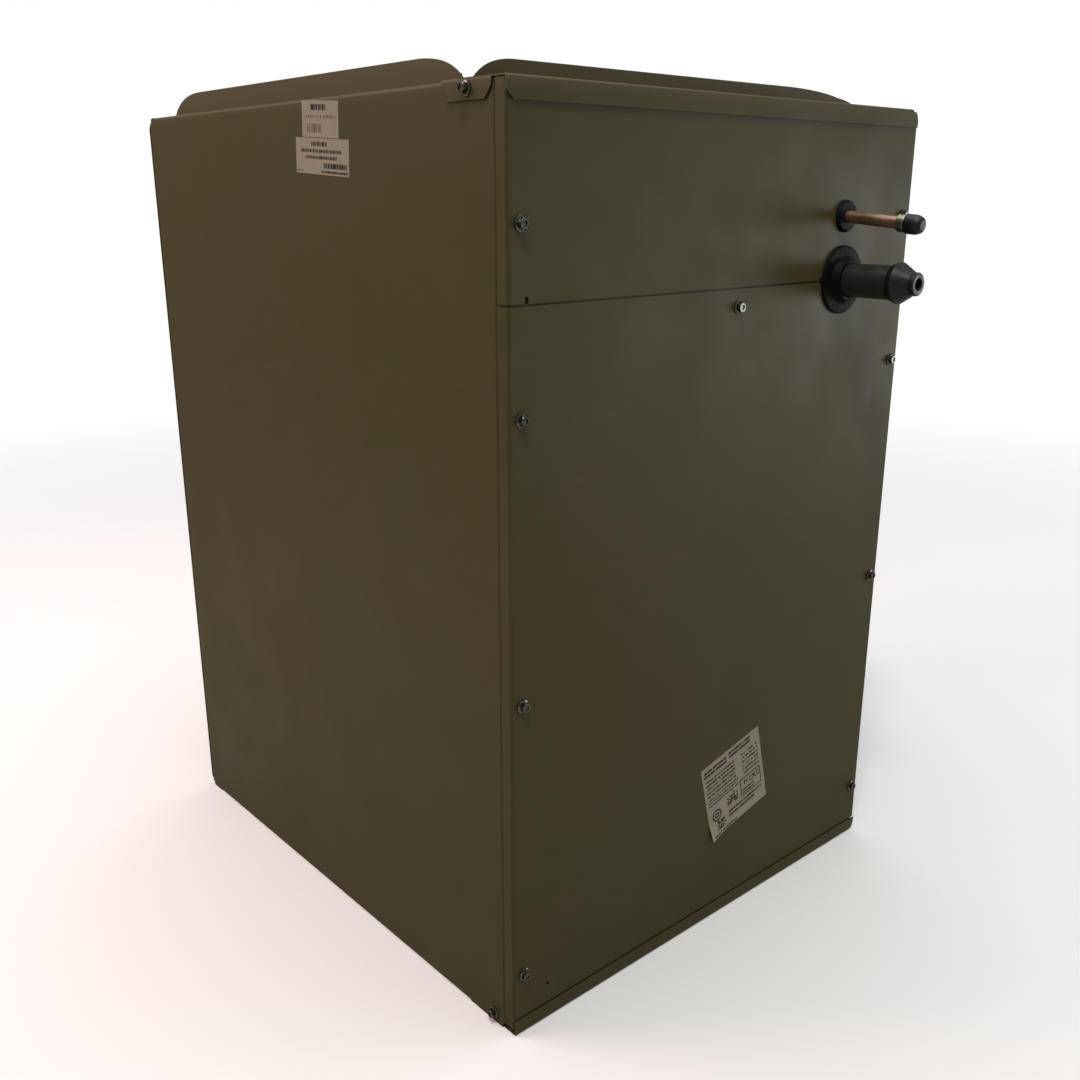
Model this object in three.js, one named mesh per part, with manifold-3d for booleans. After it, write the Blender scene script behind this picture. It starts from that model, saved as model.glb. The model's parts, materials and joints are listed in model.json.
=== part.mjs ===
// A cased evaporator coil: the sheet-steel cabinet with an A-shaped refrigerant coil that sits on a
// furnace. Millimetres, +Z up, -Y is the front with the two pipe stubs. The origin is the bottom centre
// of the whole part.
import * as THREE from "three";
import { mergeVertices } from "three/addons/utils/BufferGeometryUtils.js";
import Module from "manifold-3d";

const wasm = await Module();
wasm.setup();

// ---- Driving dimensions -----------------------------------------------------------------------------

const CASE_WIDTH = 444.5;
const CASE_DEPTH = 508;
const CASE_HEIGHT = 676;
const SHEET = 1.0;
const GAP = 0.3;
const BEND = 1.6;
const UPTURN_BEND = 2;

const SLIT_HEIGHT = 543;
const SLIT_WIDTH = 1.5;
const FRONT_RETURN = 10;
const FRONT_FLANGE = 26;
const REAR_FLANGE = 22;
const CORNER_ROUND = 10;

const TOP_LIP = { height: 14, left: -222.95, right: 220.25, chamfer: [5.8, 5] };
const TOP_SHELF = 59;
const SIDE_SHELF = 9.5;
const DUCT_TAB = 16;
const EAR = { front: 12, back: 62, backLow: 56, height: 13, chamfer: [6.6, 7.5], shelf: 6.5 };
const BASE_LIP = 12.4;
const BASE_SHELF = 25;
const BASE_EAR = { front: 15, back: 50 };

const SUCTION = { x: 128.6, z: 543, tube: 11.1, bore: 10.1, sleeve: 13.2 };
const LIQUID = { x: 127.4, z: 592.5, tube: 4.75, bore: 3.9, fall: 5 };
const STUB_END = -70;
const SLEEVE_END = -47.7;

const LINER = 13;
const LINER_BOTTOM = 31;
const LINER_TOP = 655;

const PAN = { halfWidth: 203, front: 19, back: 491, bottom: 30.3, top: 72, rim: 66, wall: 3, trough: 75 };
const DRAIN = { y: [52, 100], z: [48, 57], boss: 14, bore: 10.8 };

const SLAB = { length: 520, half: 22, front: 78, back: 462, footX: 165, footZ: 52, lean: 14.5 };
const PASS = { count: 32, first: 14, step: 15.875, row: 11, tube: 4.75, hole: 6, end: 58 };
const HEADER_Y = 36;

const SCREW = { head: 3.8, washer: 5, washerThick: 1.2, headTall: 3, shank: 2.1, length: 12.4, hole: 2.65 };

const HALF_WIDTH = CASE_WIDTH / 2;
const SKIN = SHEET + GAP;
const SHEET_MID = SHEET / 2;
const INNER_MID = SKIN + SHEET_MID;
const WALL_TOP = CASE_HEIGHT - SKIN;
const SCREW_REACH = GAP + SCREW.washerThick + SCREW.headTall;
const LEAN = THREE.MathUtils.degToRad(SLAB.lean);

// ---- Finishes ---------------------------------------------------------------------------------------

const finish = (color, roughness, metalness) => () =>
  new THREE.MeshStandardMaterial({ color, roughness, metalness });
const TAUPE_PAINT = finish(0x8a7f68, 0.5, 0.1);
const ZINC = finish(0xb9bcc0, 0.35, 0.9);
const GALVANISED = finish(0xa9adb0, 0.45, 0.85);
const ALUMINIUM = finish(0xc4c7ca, 0.4, 0.9);
const FOIL = finish(0xc9ccd0, 0.35, 0.8);
const COPPER = finish(0xb87353, 0.35, 0.95);
const BRASS = finish(0xb59a5b, 0.35, 0.9);
const BLACK_RUBBER = finish(0x1c1d20, 0.75, 0);
const BLACK_PLASTIC = finish(0x22242a, 0.45, 0);
const PAPER = finish(0xd9d6c8, 0.7, 0);

// ---- Solids -----------------------------------------------------------------------------------------

// A closed geometry as a manifold solid, with its faces turned outwards.
function solid(geometry) {
  const bare = geometry.clone();
  bare.deleteAttribute("normal");
  bare.deleteAttribute("uv");
  const merged = mergeVertices(bare, 1e-4);
  const corners = [];
  const index = merged.index.array;
  for (let i = 0; i < index.length; i += 3) {
    const [a, b, c] = [index[i], index[i + 1], index[i + 2]];
    if (a !== b && b !== c && c !== a) corners.push(a, b, c);
  }
  const build = (triVerts) => {
    const vertProperties = new Float32Array(merged.attributes.position.array);
    const mesh = new wasm.Mesh({ numProp: 3, vertProperties, triVerts: new Uint32Array(triVerts) });
    return new wasm.Manifold(mesh);
  };
  const made = build(corners);
  return made.volume() > 0 ? made : build(corners.reverse());
}

// A manifold solid as a geometry with flat faces.
function geometryOf(shape) {
  const mesh = shape.getMesh();
  const geometry = new THREE.BufferGeometry();
  geometry.setAttribute("position", new THREE.BufferAttribute(new Float32Array(mesh.vertProperties), 3));
  geometry.setIndex(Array.from(mesh.triVerts));
  const faceted = geometry.toNonIndexed();
  faceted.computeVertexNormals();
  return faceted;
}

const join = (...shapes) => shapes.reduce((whole, shape) => whole.add(shape));
const cut = (shape, ...tools) => tools.reduce((rest, tool) => rest.subtract(tool), shape);

function box([x0, x1], [y0, y1], [z0, z1]) {
  const geometry = new THREE.BoxGeometry(x1 - x0, y1 - y0, z1 - z0);
  geometry.translate((x0 + x1) / 2, (y0 + y1) / 2, (z0 + z1) / 2);
  return solid(geometry);
}

// A round bar along X, Y or Z between two positions on that axis.
function bar(axis, centre, radius, [from, to], sides = 12) {
  const geometry = new THREE.CylinderGeometry(radius, radius, to - from, sides);
  if (axis === "x") geometry.rotateZ(-Math.PI / 2);
  if (axis === "z") geometry.rotateX(Math.PI / 2);
  const middle = new THREE.Vector3(...centre);
  middle[axis] = (from + to) / 2;
  geometry.translate(middle.x, middle.y, middle.z);
  return solid(geometry);
}

// A flat outline drawn in the XY, XZ or YZ plane and drawn out along the third axis.
function prism(plane, outline, [from, to]) {
  const settings = { depth: to - from, bevelEnabled: false, curveSegments: 5 };
  const geometry = new THREE.ExtrudeGeometry(outline, settings);
  if (plane === "xy") geometry.translate(0, 0, from);
  if (plane === "xz") geometry.rotateX(Math.PI / 2).translate(0, to, 0);
  if (plane === "yz") {
    const toYZ = new THREE.Matrix4().makeBasis(
      new THREE.Vector3(0, 1, 0),
      new THREE.Vector3(0, 0, 1),
      new THREE.Vector3(1, 0, 0),
    );
    geometry.applyMatrix4(toYZ).translate(from, 0, 0);
  }
  return solid(geometry);
}

// A route through corner points, each corner rounded to a radius: points with unit directions.
function roundedRoute(points, radius, arcSteps) {
  const route = [];
  const last = points.length - 1;
  const direction = (i) => points[i + 1].clone().sub(points[i]).normalize();
  route.push({ at: points[0].clone(), along: direction(0) });
  for (let i = 1; i < last; i++) {
    const before = direction(i - 1);
    const after = direction(i);
    const turn = Math.acos(THREE.MathUtils.clamp(before.dot(after), -1, 1));
    const reach = radius * Math.tan(turn / 2);
    const start = points[i].clone().addScaledVector(before, -reach);
    const inward = after.clone().addScaledVector(before, -before.dot(after)).normalize();
    for (let k = 0; k <= arcSteps; k++) {
      const angle = (turn * k) / arcSteps;
      const at = start.clone().addScaledVector(before, radius * Math.sin(angle));
      at.addScaledVector(inward, radius * (1 - Math.cos(angle)));
      const along = before.clone().multiplyScalar(Math.cos(angle)).addScaledVector(inward, Math.sin(angle));
      route.push({ at, along });
    }
  }
  route.push({ at: points[last].clone(), along: direction(last - 1) });
  return route;
}

// The outline of a folded sheet, given the middle line of its section.
function foldedSheet(points, bend = BEND, thickness = SHEET, arcSteps = 2) {
  const route = roundedRoute(points.map(([u, v]) => new THREE.Vector2(u, v)), bend, arcSteps);
  const side = (sign) =>
    route.map(({ at, along }) =>
      new THREE.Vector2(at.x - (sign * along.y * thickness) / 2, at.y + (sign * along.x * thickness) / 2),
    );
  return new THREE.Shape([...side(1), ...side(-1).reverse()]);
}

// A curve that ExtrudeGeometry follows from one stated point to the next.
class StatedCurve extends THREE.Curve {
  constructor(route) {
    super();
    this.route = route;
  }
  getPoint(t) {
    const place = t * (this.route.length - 1);
    const i = Math.min(Math.floor(place), this.route.length - 2);
    return this.route[i].at.clone().lerp(this.route[i + 1].at, place - i);
  }
  getPointAt(u) {
    return this.getPoint(u);
  }
  getTangentAt(u) {
    return this.route[Math.round(u * (this.route.length - 1))].along.clone();
  }
}

function tubeGeometry(route, radius, sides) {
  const ring = Array.from({ length: sides }, (_, i) => {
    const angle = (2 * Math.PI * i) / sides;
    return new THREE.Vector2(radius * Math.cos(angle), radius * Math.sin(angle));
  });
  const extrudePath = new StatedCurve(route);
  return new THREE.ExtrudeGeometry(new THREE.Shape(ring), { steps: route.length - 1, extrudePath });
}

function tube(points, radius, bendRadius, sides = 12, arcSteps = 4) {
  const corners = points.map((p) => new THREE.Vector3(...p));
  return solid(tubeGeometry(roundedRoute(corners, bendRadius, arcSteps), radius, sides));
}

// A turned piece whose axis runs along -Y from a start point; the profile gives radius and distance forward.
function turned(profile, segments) {
  const geometry = new THREE.LatheGeometry(profile.map(([r, d]) => new THREE.Vector2(r, d)), segments);
  return geometry.rotateX(Math.PI);
}

// The piece to take away from a square corner to round it; signs point from the corner into the sheet.
function cornerCutter(plane, [u, v], [signU, signV], radius, span) {
  const outside = 2;
  const steps = 4;
  const points = [new THREE.Vector2(u - signU * outside, v - signV * outside)];
  points.push(new THREE.Vector2(u + signU * radius, v - signV * outside));
  for (let k = 0; k <= steps; k++) {
    const angle = (Math.PI / 2) * (k / steps);
    const reachU = radius * (1 - Math.sin(angle));
    const reachV = radius * (1 - Math.cos(angle));
    points.push(new THREE.Vector2(u + signU * reachU, v + signV * reachV));
  }
  points.push(new THREE.Vector2(u - signU * outside, v + signV * radius));
  return prism(plane, new THREE.Shape(points), span);
}

// The piece to take away from a square corner to cut it off at a slant.
function chamferCutter(plane, [u, v], [signU, signV], [alongU, alongV], span) {
  const outside = 2;
  const points = [
    new THREE.Vector2(u - signU * outside, v - signV * outside),
    new THREE.Vector2(u + signU * alongU, v - signV * outside),
    new THREE.Vector2(u + signU * alongU, v),
    new THREE.Vector2(u, v + signV * alongV),
    new THREE.Vector2(u - signU * outside, v + signV * alongV),
  ];
  return prism(plane, new THREE.Shape(points), span);
}

// An upstanding duct tab whose two ends sweep up from the shelf. Each end gives its foot, the point its
// curve is pulled towards and where the tab reaches its full height, as positions along the edge.
function tabOutline({ near, far }, foot) {
  const top = CASE_HEIGHT + DUCT_TAB;
  const outline = new THREE.Shape();
  outline.moveTo(near.foot, foot);
  outline.lineTo(far.foot, foot);
  outline.quadraticCurveTo(far.pull[0], CASE_HEIGHT + far.pull[1], far.full, top);
  outline.lineTo(near.full, top);
  outline.quadraticCurveTo(near.pull[0], CASE_HEIGHT + near.pull[1], near.foot, foot);
  return outline;
}
const SIDE_TAB = {
  near: { foot: 49.5, pull: [62, 15], full: 97 },
  far: { foot: 470, pull: [457, 16], full: 418 },
};
const FRONT_TAB = {
  near: { foot: -202.75, pull: [-192.25, 15.5], full: -168.25 },
  far: { foot: 211.75, pull: [209.75, 14.5], full: 127.75 },
};
const BACK_TAB = {
  near: { foot: -197.25, pull: [-188.25, 16], full: -177.25 },
  far: { foot: 197.25, pull: [188.25, 16], full: 177.25 },
};

// The fold at a tab's foot, from the edge of its shelf at a position and height. It stops a little inside
// the ends of the tab. The sign tells which way along the axis the shelf runs out to the tab.
function tabFold(plane, { near, far }, tabAt, shelfZ, sign) {
  const line = [[tabAt - sign * 6, shelfZ], [tabAt, shelfZ], [tabAt, shelfZ + 6]];
  return prism(plane, foldedSheet(line, UPTURN_BEND), [near.foot + 4.5, far.foot - 4.5]);
}

// ---- Assembly ---------------------------------------------------------------------------------------

const FRONT_REACH = -STUB_END;
const BACK_REACH = CASE_DEPTH + SCREW_REACH;
const part = new THREE.Group();
const cabinet = new THREE.Group();
cabinet.position.y = (FRONT_REACH - BACK_REACH) / 2;
part.add(cabinet);

function place(name, shape, material, parent = cabinet) {
  const geometry = shape.isBufferGeometry ? geometryOf(solid(shape)) : geometryOf(shape);
  const mesh = new THREE.Mesh(geometry, material());
  mesh.name = name;
  parent.add(mesh);
  return mesh;
}

// Front panel screws go in near both edges; u is the distance in from the side of the case.
const EDGE_SCREW_U = 10.5;
const ACCESS_SCREWS = { top: 471, middle: 271, bottom: 51 };
const UPPER_SCREW_Z = 592;
const CENTRE_SCREW_Z = 529;
const TOP_EAR_SCREW = { y: 36, z: 670 };
const BASE_EAR_SCREW = { y: 23, z: 8 };
const BACK_SCREW = { u: 11, z: [170, 500] };
const EDGE_SCREW_Z = [UPPER_SCREW_Z, ...Object.values(ACCESS_SCREWS)];
const SIDES = [
  ["left", -1],
  ["right", 1],
];

const acrossAt = (side, u) => side * (HALF_WIDTH - u);
const span = (a, b) => [Math.min(a, b), Math.max(a, b)];
const sideSpan = (side, u0, u1) => span(acrossAt(side, u0), acrossAt(side, u1));
const frontHole = (x, z, depth = 4) => bar("y", [x, 0, z], SCREW.hole, [-3, depth], 8);

function sidePanel(side) {
  const across = (points) => points.map(([u, v]) => [acrossAt(side, u), v]);
  const joggle = [[INNER_MID, FRONT_RETURN + 0.3], [SHEET_MID, FRONT_RETURN + 2.2]];
  const wallLine = across([
    [FRONT_FLANGE, INNER_MID],
    [INNER_MID, INNER_MID],
    ...joggle,
    [SHEET_MID, CASE_DEPTH - INNER_MID],
    [REAR_FLANGE, CASE_DEPTH - INNER_MID],
  ]);
  const neckLine = across([[INNER_MID, 5], ...joggle, [SHEET_MID, EAR.front + 4]]);
  const shelfZ = WALL_TOP - SHEET_MID;
  const shelfEdge = SIDE_SHELF - UPTURN_BEND;
  const shelfLine = across([[SHEET_MID, WALL_TOP - 12], [SHEET_MID, shelfZ], [shelfEdge, shelfZ]]);
  const footLine = across([[20, SHEET_MID], [SHEET_MID, SHEET_MID], [SHEET_MID, 12]]);
  const tabSpan = sideSpan(side, SIDE_SHELF - SHEET_MID, SIDE_SHELF + SHEET_MID);
  const rear = CASE_DEPTH - CORNER_ROUND;
  const footStart = BASE_EAR.back + 2;
  const footEnd = CASE_DEPTH - 21;
  const cornerTop = WALL_TOP - 4;
  const skinSpan = sideSpan(side, 0, SHEET);
  let panel = join(
    prism("xy", foldedSheet(wallLine), [4, cornerTop]),
    prism("xy", foldedSheet(neckLine), [cornerTop - 1, WALL_TOP - SHEET_MID]),
    prism("xz", foldedSheet(shelfLine), [EAR.front + 3, rear]),
    tabFold("xz", SIDE_TAB, acrossAt(side, SIDE_SHELF), shelfZ, -side),
    prism("xz", foldedSheet(footLine), [footStart, footEnd]),
    box(skinSpan, [rear - 1, CASE_DEPTH - 5], [cornerTop - 1, WALL_TOP]),
    box(skinSpan, [footEnd - 1, CASE_DEPTH - 5], [0, 5]),
    box(skinSpan, [EAR.front + 1, footStart + 1], [0, 5]),
    prism("yz", tabOutline(SIDE_TAB, shelfZ), tabSpan),
  );
  const wholeWall = sideSpan(side, -2, 4);
  const flangeSpan = sideSpan(side, -2, REAR_FLANGE + 2);
  const edgeHole = (y, z, x) => bar("y", [x, 0, z], SCREW.hole, y, 8);
  const backSpan = [CASE_DEPTH - 4, CASE_DEPTH];
  panel = cut(
    panel,
    cornerCutter("yz", [CASE_DEPTH, WALL_TOP], [-1, -1], CORNER_ROUND, flangeSpan),
    cornerCutter("yz", [CASE_DEPTH, 0], [-1, 1], CORNER_ROUND, flangeSpan),
    bar("x", [0, TOP_EAR_SCREW.y, TOP_EAR_SCREW.z], SCREW.hole, wholeWall, 8),
    bar("x", [0, BASE_EAR_SCREW.y, BASE_EAR_SCREW.z], SCREW.hole, wholeWall, 8),
    ...EDGE_SCREW_Z.map((z) => frontHole(acrossAt(side, EDGE_SCREW_U), z)),
    ...BACK_SCREW.z.map((z) => edgeHole(backSpan, z, acrossAt(side, BACK_SCREW.u))),
  );
  if (side < 0) return panel;
  return cut(panel, ...DRAIN.y.map((y, i) => bar("x", [0, y, DRAIN.z[i]], DRAIN.boss + 1.2, wholeWall)));
}

function backPanel() {
  const rear = CASE_DEPTH - SHEET_MID;
  const tabY = CASE_DEPTH - SIDE_SHELF;
  const shelfZ = WALL_TOP - SHEET_MID;
  const shelfEdge = tabY + UPTURN_BEND;
  const section = [[CASE_DEPTH - 20, SHEET_MID], [rear, SHEET_MID], [rear, shelfZ], [shelfEdge, shelfZ]];
  const inner = HALF_WIDTH - CORNER_ROUND;
  const plateDepth = [CASE_DEPTH - SHEET, CASE_DEPTH];
  const plate = box([-HALF_WIDTH, HALF_WIDTH], plateDepth, [0, WALL_TOP]);
  const cornerDepth = [CASE_DEPTH - 4, CASE_DEPTH + 1];
  const corners = SIDES.flatMap(([, side]) => [
    cornerCutter("xz", [side * HALF_WIDTH, WALL_TOP], [-side, -1], CORNER_ROUND, cornerDepth),
    cornerCutter("xz", [side * HALF_WIDTH, 0], [-side, 1], CORNER_ROUND, cornerDepth),
  ]);
  const middle = box([-inner, inner], cornerDepth, [-1, WALL_TOP + 1]);
  const holeDepth = [CASE_DEPTH - 2, CASE_DEPTH + 2];
  const backHole = (side, z) => bar("y", [acrossAt(side, BACK_SCREW.u), 0, z], SCREW.hole, holeDepth, 8);
  return cut(
    join(
      cut(plate, ...corners, middle),
      prism("yz", foldedSheet(section), [-inner, inner]),
      tabFold("yz", BACK_TAB, tabY, shelfZ, -1),
      prism("xz", tabOutline(BACK_TAB, shelfZ), [tabY - SHEET_MID, tabY + SHEET_MID]),
    ),
    ...SIDES.flatMap(([, side]) => BACK_SCREW.z.map((z) => backHole(side, z))),
  );
}

function topFrontRail() {
  const lipY = -SKIN + SHEET_MID;
  const shelfZ = CASE_HEIGHT - SHEET_MID;
  const earU = -GAP - SHEET_MID;
  const earFoot = CASE_HEIGHT - EAR.height;
  const slant = (EAR.back - EAR.backLow) / EAR.height;
  const earTail = new THREE.Shape([
    new THREE.Vector2(EAR.back + slant, CASE_HEIGHT + 1),
    new THREE.Vector2(EAR.backLow - slant, earFoot - 1),
    new THREE.Vector2(EAR.back + 5, earFoot - 1),
    new THREE.Vector2(EAR.back + 5, CASE_HEIGHT + 1),
  ]);
  const ears = SIDES.map(([, side]) => {
    const line = [[earU, earFoot], [earU, shelfZ], [EAR.shelf, shelfZ]];
    const ear = prism("xz", foldedSheet(line.map(([u, v]) => [acrossAt(side, u), v])), [EAR.front, EAR.back]);
    return cut(
      ear,
      chamferCutter("yz", [EAR.front, earFoot], [1, 1], EAR.chamfer, sideSpan(side, -3, -0.1)),
      prism("yz", earTail, sideSpan(side, -3, EAR.shelf + 1)),
    );
  });
  const lip = [[lipY, CASE_HEIGHT - TOP_LIP.height], [lipY, shelfZ]];
  const lipSpan = [TOP_LIP.left, TOP_LIP.right];
  const shelfEnd = HALF_WIDTH - 12;
  const tabY = [TOP_SHELF - SHEET_MID, TOP_SHELF + SHEET_MID];
  const front = join(
    prism("yz", foldedSheet([...lip, [44, shelfZ]]), lipSpan),
    prism("yz", foldedSheet([...lip, [TOP_SHELF - UPTURN_BEND, shelfZ]]), [-shelfEnd, shelfEnd]),
    tabFold("yz", FRONT_TAB, TOP_SHELF, shelfZ, 1),
    prism("xz", tabOutline(FRONT_TAB, shelfZ), tabY),
  );
  const lipDepth = [-SKIN - 1, EAR.front];
  const corners = [
    chamferCutter("xz", [TOP_LIP.left, CASE_HEIGHT - TOP_LIP.height], [1, 1], TOP_LIP.chamfer, lipDepth),
    cornerCutter("xz", [TOP_LIP.right, CASE_HEIGHT], [-1, -1], CORNER_ROUND, [-SKIN - 1, 2]),
    cornerCutter("xy", [TOP_LIP.right, -SKIN], [-1, 1], CORNER_ROUND, [CASE_HEIGHT - 2, CASE_HEIGHT + 1]),
  ];
  const acrossCase = [-HALF_WIDTH - 3, HALF_WIDTH + 3];
  const hole = bar("x", [0, TOP_EAR_SCREW.y, TOP_EAR_SCREW.z], SCREW.hole, acrossCase, 8);
  return cut(join(cut(front, ...corners), ...ears), hole);
}

// The ears of this rail stand just inside the side panels.
function baseFrontRail() {
  const lipY = -SKIN + SHEET_MID;
  const section = [[lipY, BASE_LIP], [lipY, SHEET_MID], [BASE_SHELF, SHEET_MID]];
  const lipEnd = HALF_WIDTH - 1;
  const front = prism("yz", foldedSheet(section), [-lipEnd, lipEnd]);
  const roomDepth = [EAR.front, BASE_SHELF + 1];
  const sideRoom = SIDES.map(([, side]) => box(sideSpan(side, -1, SKIN), roomDepth, [-1, 2]));
  const ears = SIDES.map(([, side]) => {
    const line = [[INNER_MID, BASE_LIP], [INNER_MID, SHEET_MID], [18, SHEET_MID]];
    const depth = [BASE_EAR.front, BASE_EAR.back];
    return prism("xz", foldedSheet(line.map(([u, v]) => [acrossAt(side, u), v])), depth);
  });
  const round = cornerCutter("xz", [lipEnd, 0], [-1, 1], CORNER_ROUND, [-SKIN - 1, 0.5]);
  const acrossCase = [-HALF_WIDTH - 3, HALF_WIDTH + 3];
  const hole = bar("x", [0, BASE_EAR_SCREW.y, BASE_EAR_SCREW.z], SCREW.hole, acrossCase, 8);
  return cut(join(cut(front, round, ...sideRoom), ...ears), hole);
}

function frontPanelWrap(bottom, top) {
  const line = [
    [-HALF_WIDTH + SHEET_MID, FRONT_RETURN],
    [-HALF_WIDTH + SHEET_MID, SHEET_MID],
    [HALF_WIDTH - SHEET_MID, SHEET_MID],
    [HALF_WIDTH - SHEET_MID, FRONT_RETURN],
  ];
  return prism("xy", foldedSheet(line, BEND, SHEET, 3), [bottom, top]);
}

// A small nick in both front panels where the slit runs under the suction grommet.
const NICK = { x: [SUCTION.x - 29.4, SUCTION.x - 26], z: [SLIT_HEIGHT - 2, SLIT_HEIGHT + 2.4] };
const slitNick = () => box(NICK.x, [-1, 0.99], NICK.z);
const suctionHole = (radius, depth) => bar("y", [SUCTION.x, 0, SUCTION.z], radius, depth, 24);
const liquidHole = (radius, depth) => bar("y", [LIQUID.x, 0, LIQUID.z], radius, depth, 16);

function upperFrontPanel() {
  const bottom = SLIT_HEIGHT + SLIT_WIDTH / 2;
  const top = WALL_TOP - GAP;
  const notchX = -HALF_WIDTH + 15.4;
  const tongueHalf = HALF_WIDTH - 32;
  return cut(
    join(
      frontPanelWrap(bottom, top),
      box([-HALF_WIDTH + 4, HALF_WIDTH - 4], [SHEET_MID, 12], [top - SHEET, top]),
      box([-tongueHalf, tongueHalf], [SKIN, SKIN + SHEET], [519, 549]),
      box([-tongueHalf, tongueHalf], [SHEET_MID, SKIN + SHEET], [545.5, 549]),
    ),
    suctionHole(19.6, [-3, 6]),
    liquidHole(8.7, [-3, 6]),
    box([notchX - 1, notchX + 1], [-1, 0.99], [SLIT_HEIGHT, 548]),
    slitNick(),
    frontHole(0, CENTRE_SCREW_Z),
    frontHole(acrossAt(-1, EDGE_SCREW_U), UPPER_SCREW_Z),
    frontHole(acrossAt(1, EDGE_SCREW_U), UPPER_SCREW_Z),
    cornerCutter("xz", [HALF_WIDTH, top], [-1, -1], CORNER_ROUND - 1, [-1, FRONT_RETURN + 4]),
  );
}

function lowerAccessPanel() {
  const bottom = BASE_LIP + 0.7;
  const levels = Object.values(ACCESS_SCREWS);
  const edges = SIDES.map(([, side]) => acrossAt(side, EDGE_SCREW_U));
  return cut(
    join(
      frontPanelWrap(bottom, SLIT_HEIGHT - SLIT_WIDTH / 2),
      box([-HALF_WIDTH + 30, HALF_WIDTH - 30], [SHEET_MID, 9], [bottom, bottom + SHEET]),
    ),
    suctionHole(19.6, [-3, 6]),
    bar("y", [-HALF_WIDTH + 34, 0, 30], 1.5, [-2, 3], 6),
    slitNick(),
    frontHole(0, CENTRE_SCREW_Z),
    ...levels.flatMap((z) => edges.map((x) => frontHole(x, z))),
  );
}

// ---- Cabinet ----------------------------------------------------------------------------------------

for (const [name, side] of SIDES) place(`${name}_side_panel`, sidePanel(side), TAUPE_PAINT);
place("back_panel", backPanel(), TAUPE_PAINT);
place("top_front_rail", topFrontRail(), TAUPE_PAINT);
place("bottom_front_rail", baseFrontRail(), TAUPE_PAINT);
place("upper_front_panel", upperFrontPanel(), TAUPE_PAINT);
place("lower_access_panel", lowerAccessPanel(), TAUPE_PAINT);

// ---- Insulation -------------------------------------------------------------------------------------

const linerHeight = [LINER_BOTTOM, LINER_TOP];
for (const [name, side] of SIDES) {
  const board = box(sideSpan(side, SKIN, SKIN + LINER), [16, CASE_DEPTH - 16], linerHeight);
  const through = sideSpan(side, -1, SKIN + LINER + 1);
  const holes = DRAIN.y.map((y, i) => bar("x", [0, y, DRAIN.z[i]], DRAIN.boss + 2, through));
  place(`${name}_liner`, side > 0 ? cut(board, ...holes) : board, FOIL);
}
const BACK_LINER_FACE = CASE_DEPTH - SKIN;
place("back_liner", box([-198, 198], [BACK_LINER_FACE - LINER, BACK_LINER_FACE], linerHeight), FOIL);
function frontLiner(height, ...holes) {
  return cut(box([-190, 190], [SKIN, SKIN + LINER], height), ...holes);
}
const upperLiner = frontLiner([551, LINER_TOP], suctionHole(22, [0, 20]), liquidHole(12, [0, 20]));
place("upper_front_liner", upperLiner, FOIL);
place("access_panel_liner", frontLiner([38, 515], suctionHole(30, [0, 20])), FOIL);

// ---- Labels -----------------------------------------------------------------------------------------

const LABEL_THICK = 0.25;
function frontLabel(name, [x, z], [width, height], turn) {
  const mesh = place(name, new THREE.BoxGeometry(width, LABEL_THICK, height), PAPER);
  mesh.position.set(x, -GAP - LABEL_THICK / 2, z);
  mesh.rotation.y = -THREE.MathUtils.degToRad(turn);
}
function sideLabel(name, [y, z], [width, height], turn) {
  const mesh = place(name, new THREE.BoxGeometry(LABEL_THICK, width, height), PAPER);
  mesh.position.set(-HALF_WIDTH - GAP - LABEL_THICK / 2, y, z);
  mesh.rotation.x = THREE.MathUtils.degToRad(turn);
}
frontLabel("rating_label", [250.7 - HALF_WIDTH, 121.5], [76, 76], 14);
sideLabel("stock_label", [209, 660.5], [50, 25], 3.6);
sideLabel("notice_label", [209, 635], [73, 25], 3.6);

// ---- Drain pan and its rails ------------------------------------------------------------------------

for (const [name, side] of SIDES) {
  const upright = box(sideSpan(side, SKIN, SKIN + SHEET), [18, CASE_DEPTH - 18], [13, 30]);
  const ledge = box(sideSpan(side, SKIN, 38), [18, CASE_DEPTH - 18], [30 - SHEET, 30]);
  place(`${name}_pan_rail`, join(upright, ledge), GALVANISED);
}

function drainPan() {
  const { halfWidth, front, back, bottom, top, rim, wall, trough } = PAN;
  const outer = box([-halfWidth, halfWidth], [front, back], [bottom, top]);
  const basin = halfWidth - wall;
  const inner = box([-basin, basin], [front + wall, back - wall], [bottom + wall, top + 1]);
  const air = halfWidth - wall - trough;
  const curb = box([-air - wall, air + wall], [front + trough, back - trough], [bottom, rim]);
  const opening = box([-air, air], [front + trough + wall, back - trough - wall], [bottom - 1, top + 1]);
  const outlets = (radius, across) => DRAIN.y.map((y, i) => bar("x", [0, y, DRAIN.z[i]], radius, across));
  const bosses = outlets(DRAIN.boss, [halfWidth - 1, HALF_WIDTH + 0.5]);
  const bores = outlets(DRAIN.bore, [halfWidth - 10, HALF_WIDTH + 2]);
  return cut(join(outer.subtract(inner), curb, ...bosses), opening, ...bores);
}
place("drain_pan", drainPan(), BLACK_PLASTIC);

// A push-in plug for a drain outlet: a plain shank, a flange and a square head.
["primary", "secondary"].forEach((name, i) => {
  const centre = [0, DRAIN.y[i], DRAIN.z[i]];
  const outlet = HALF_WIDTH + 0.8;
  const plug = join(
    bar("x", centre, DRAIN.bore - 0.75, [outlet - 13, outlet + 1]),
    bar("x", centre, DRAIN.boss + 1, [outlet, outlet + 2.2]),
    bar("x", centre, 9, [outlet + 2, HALF_WIDTH + SKIN + SCREW_REACH], 4),
  );
  place(`${name}_drain_plug`, plug, BLACK_RUBBER);
});

// ---- Coil -------------------------------------------------------------------------------------------

// A slab's own frame: X runs through its thickness, Y along the tubes, Z up its slope.
const slabAlong = (k) => PASS.first + PASS.step * k;
const slabAcross = (k, side) => side * (k % 2 ? PASS.row : -PASS.row);

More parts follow.
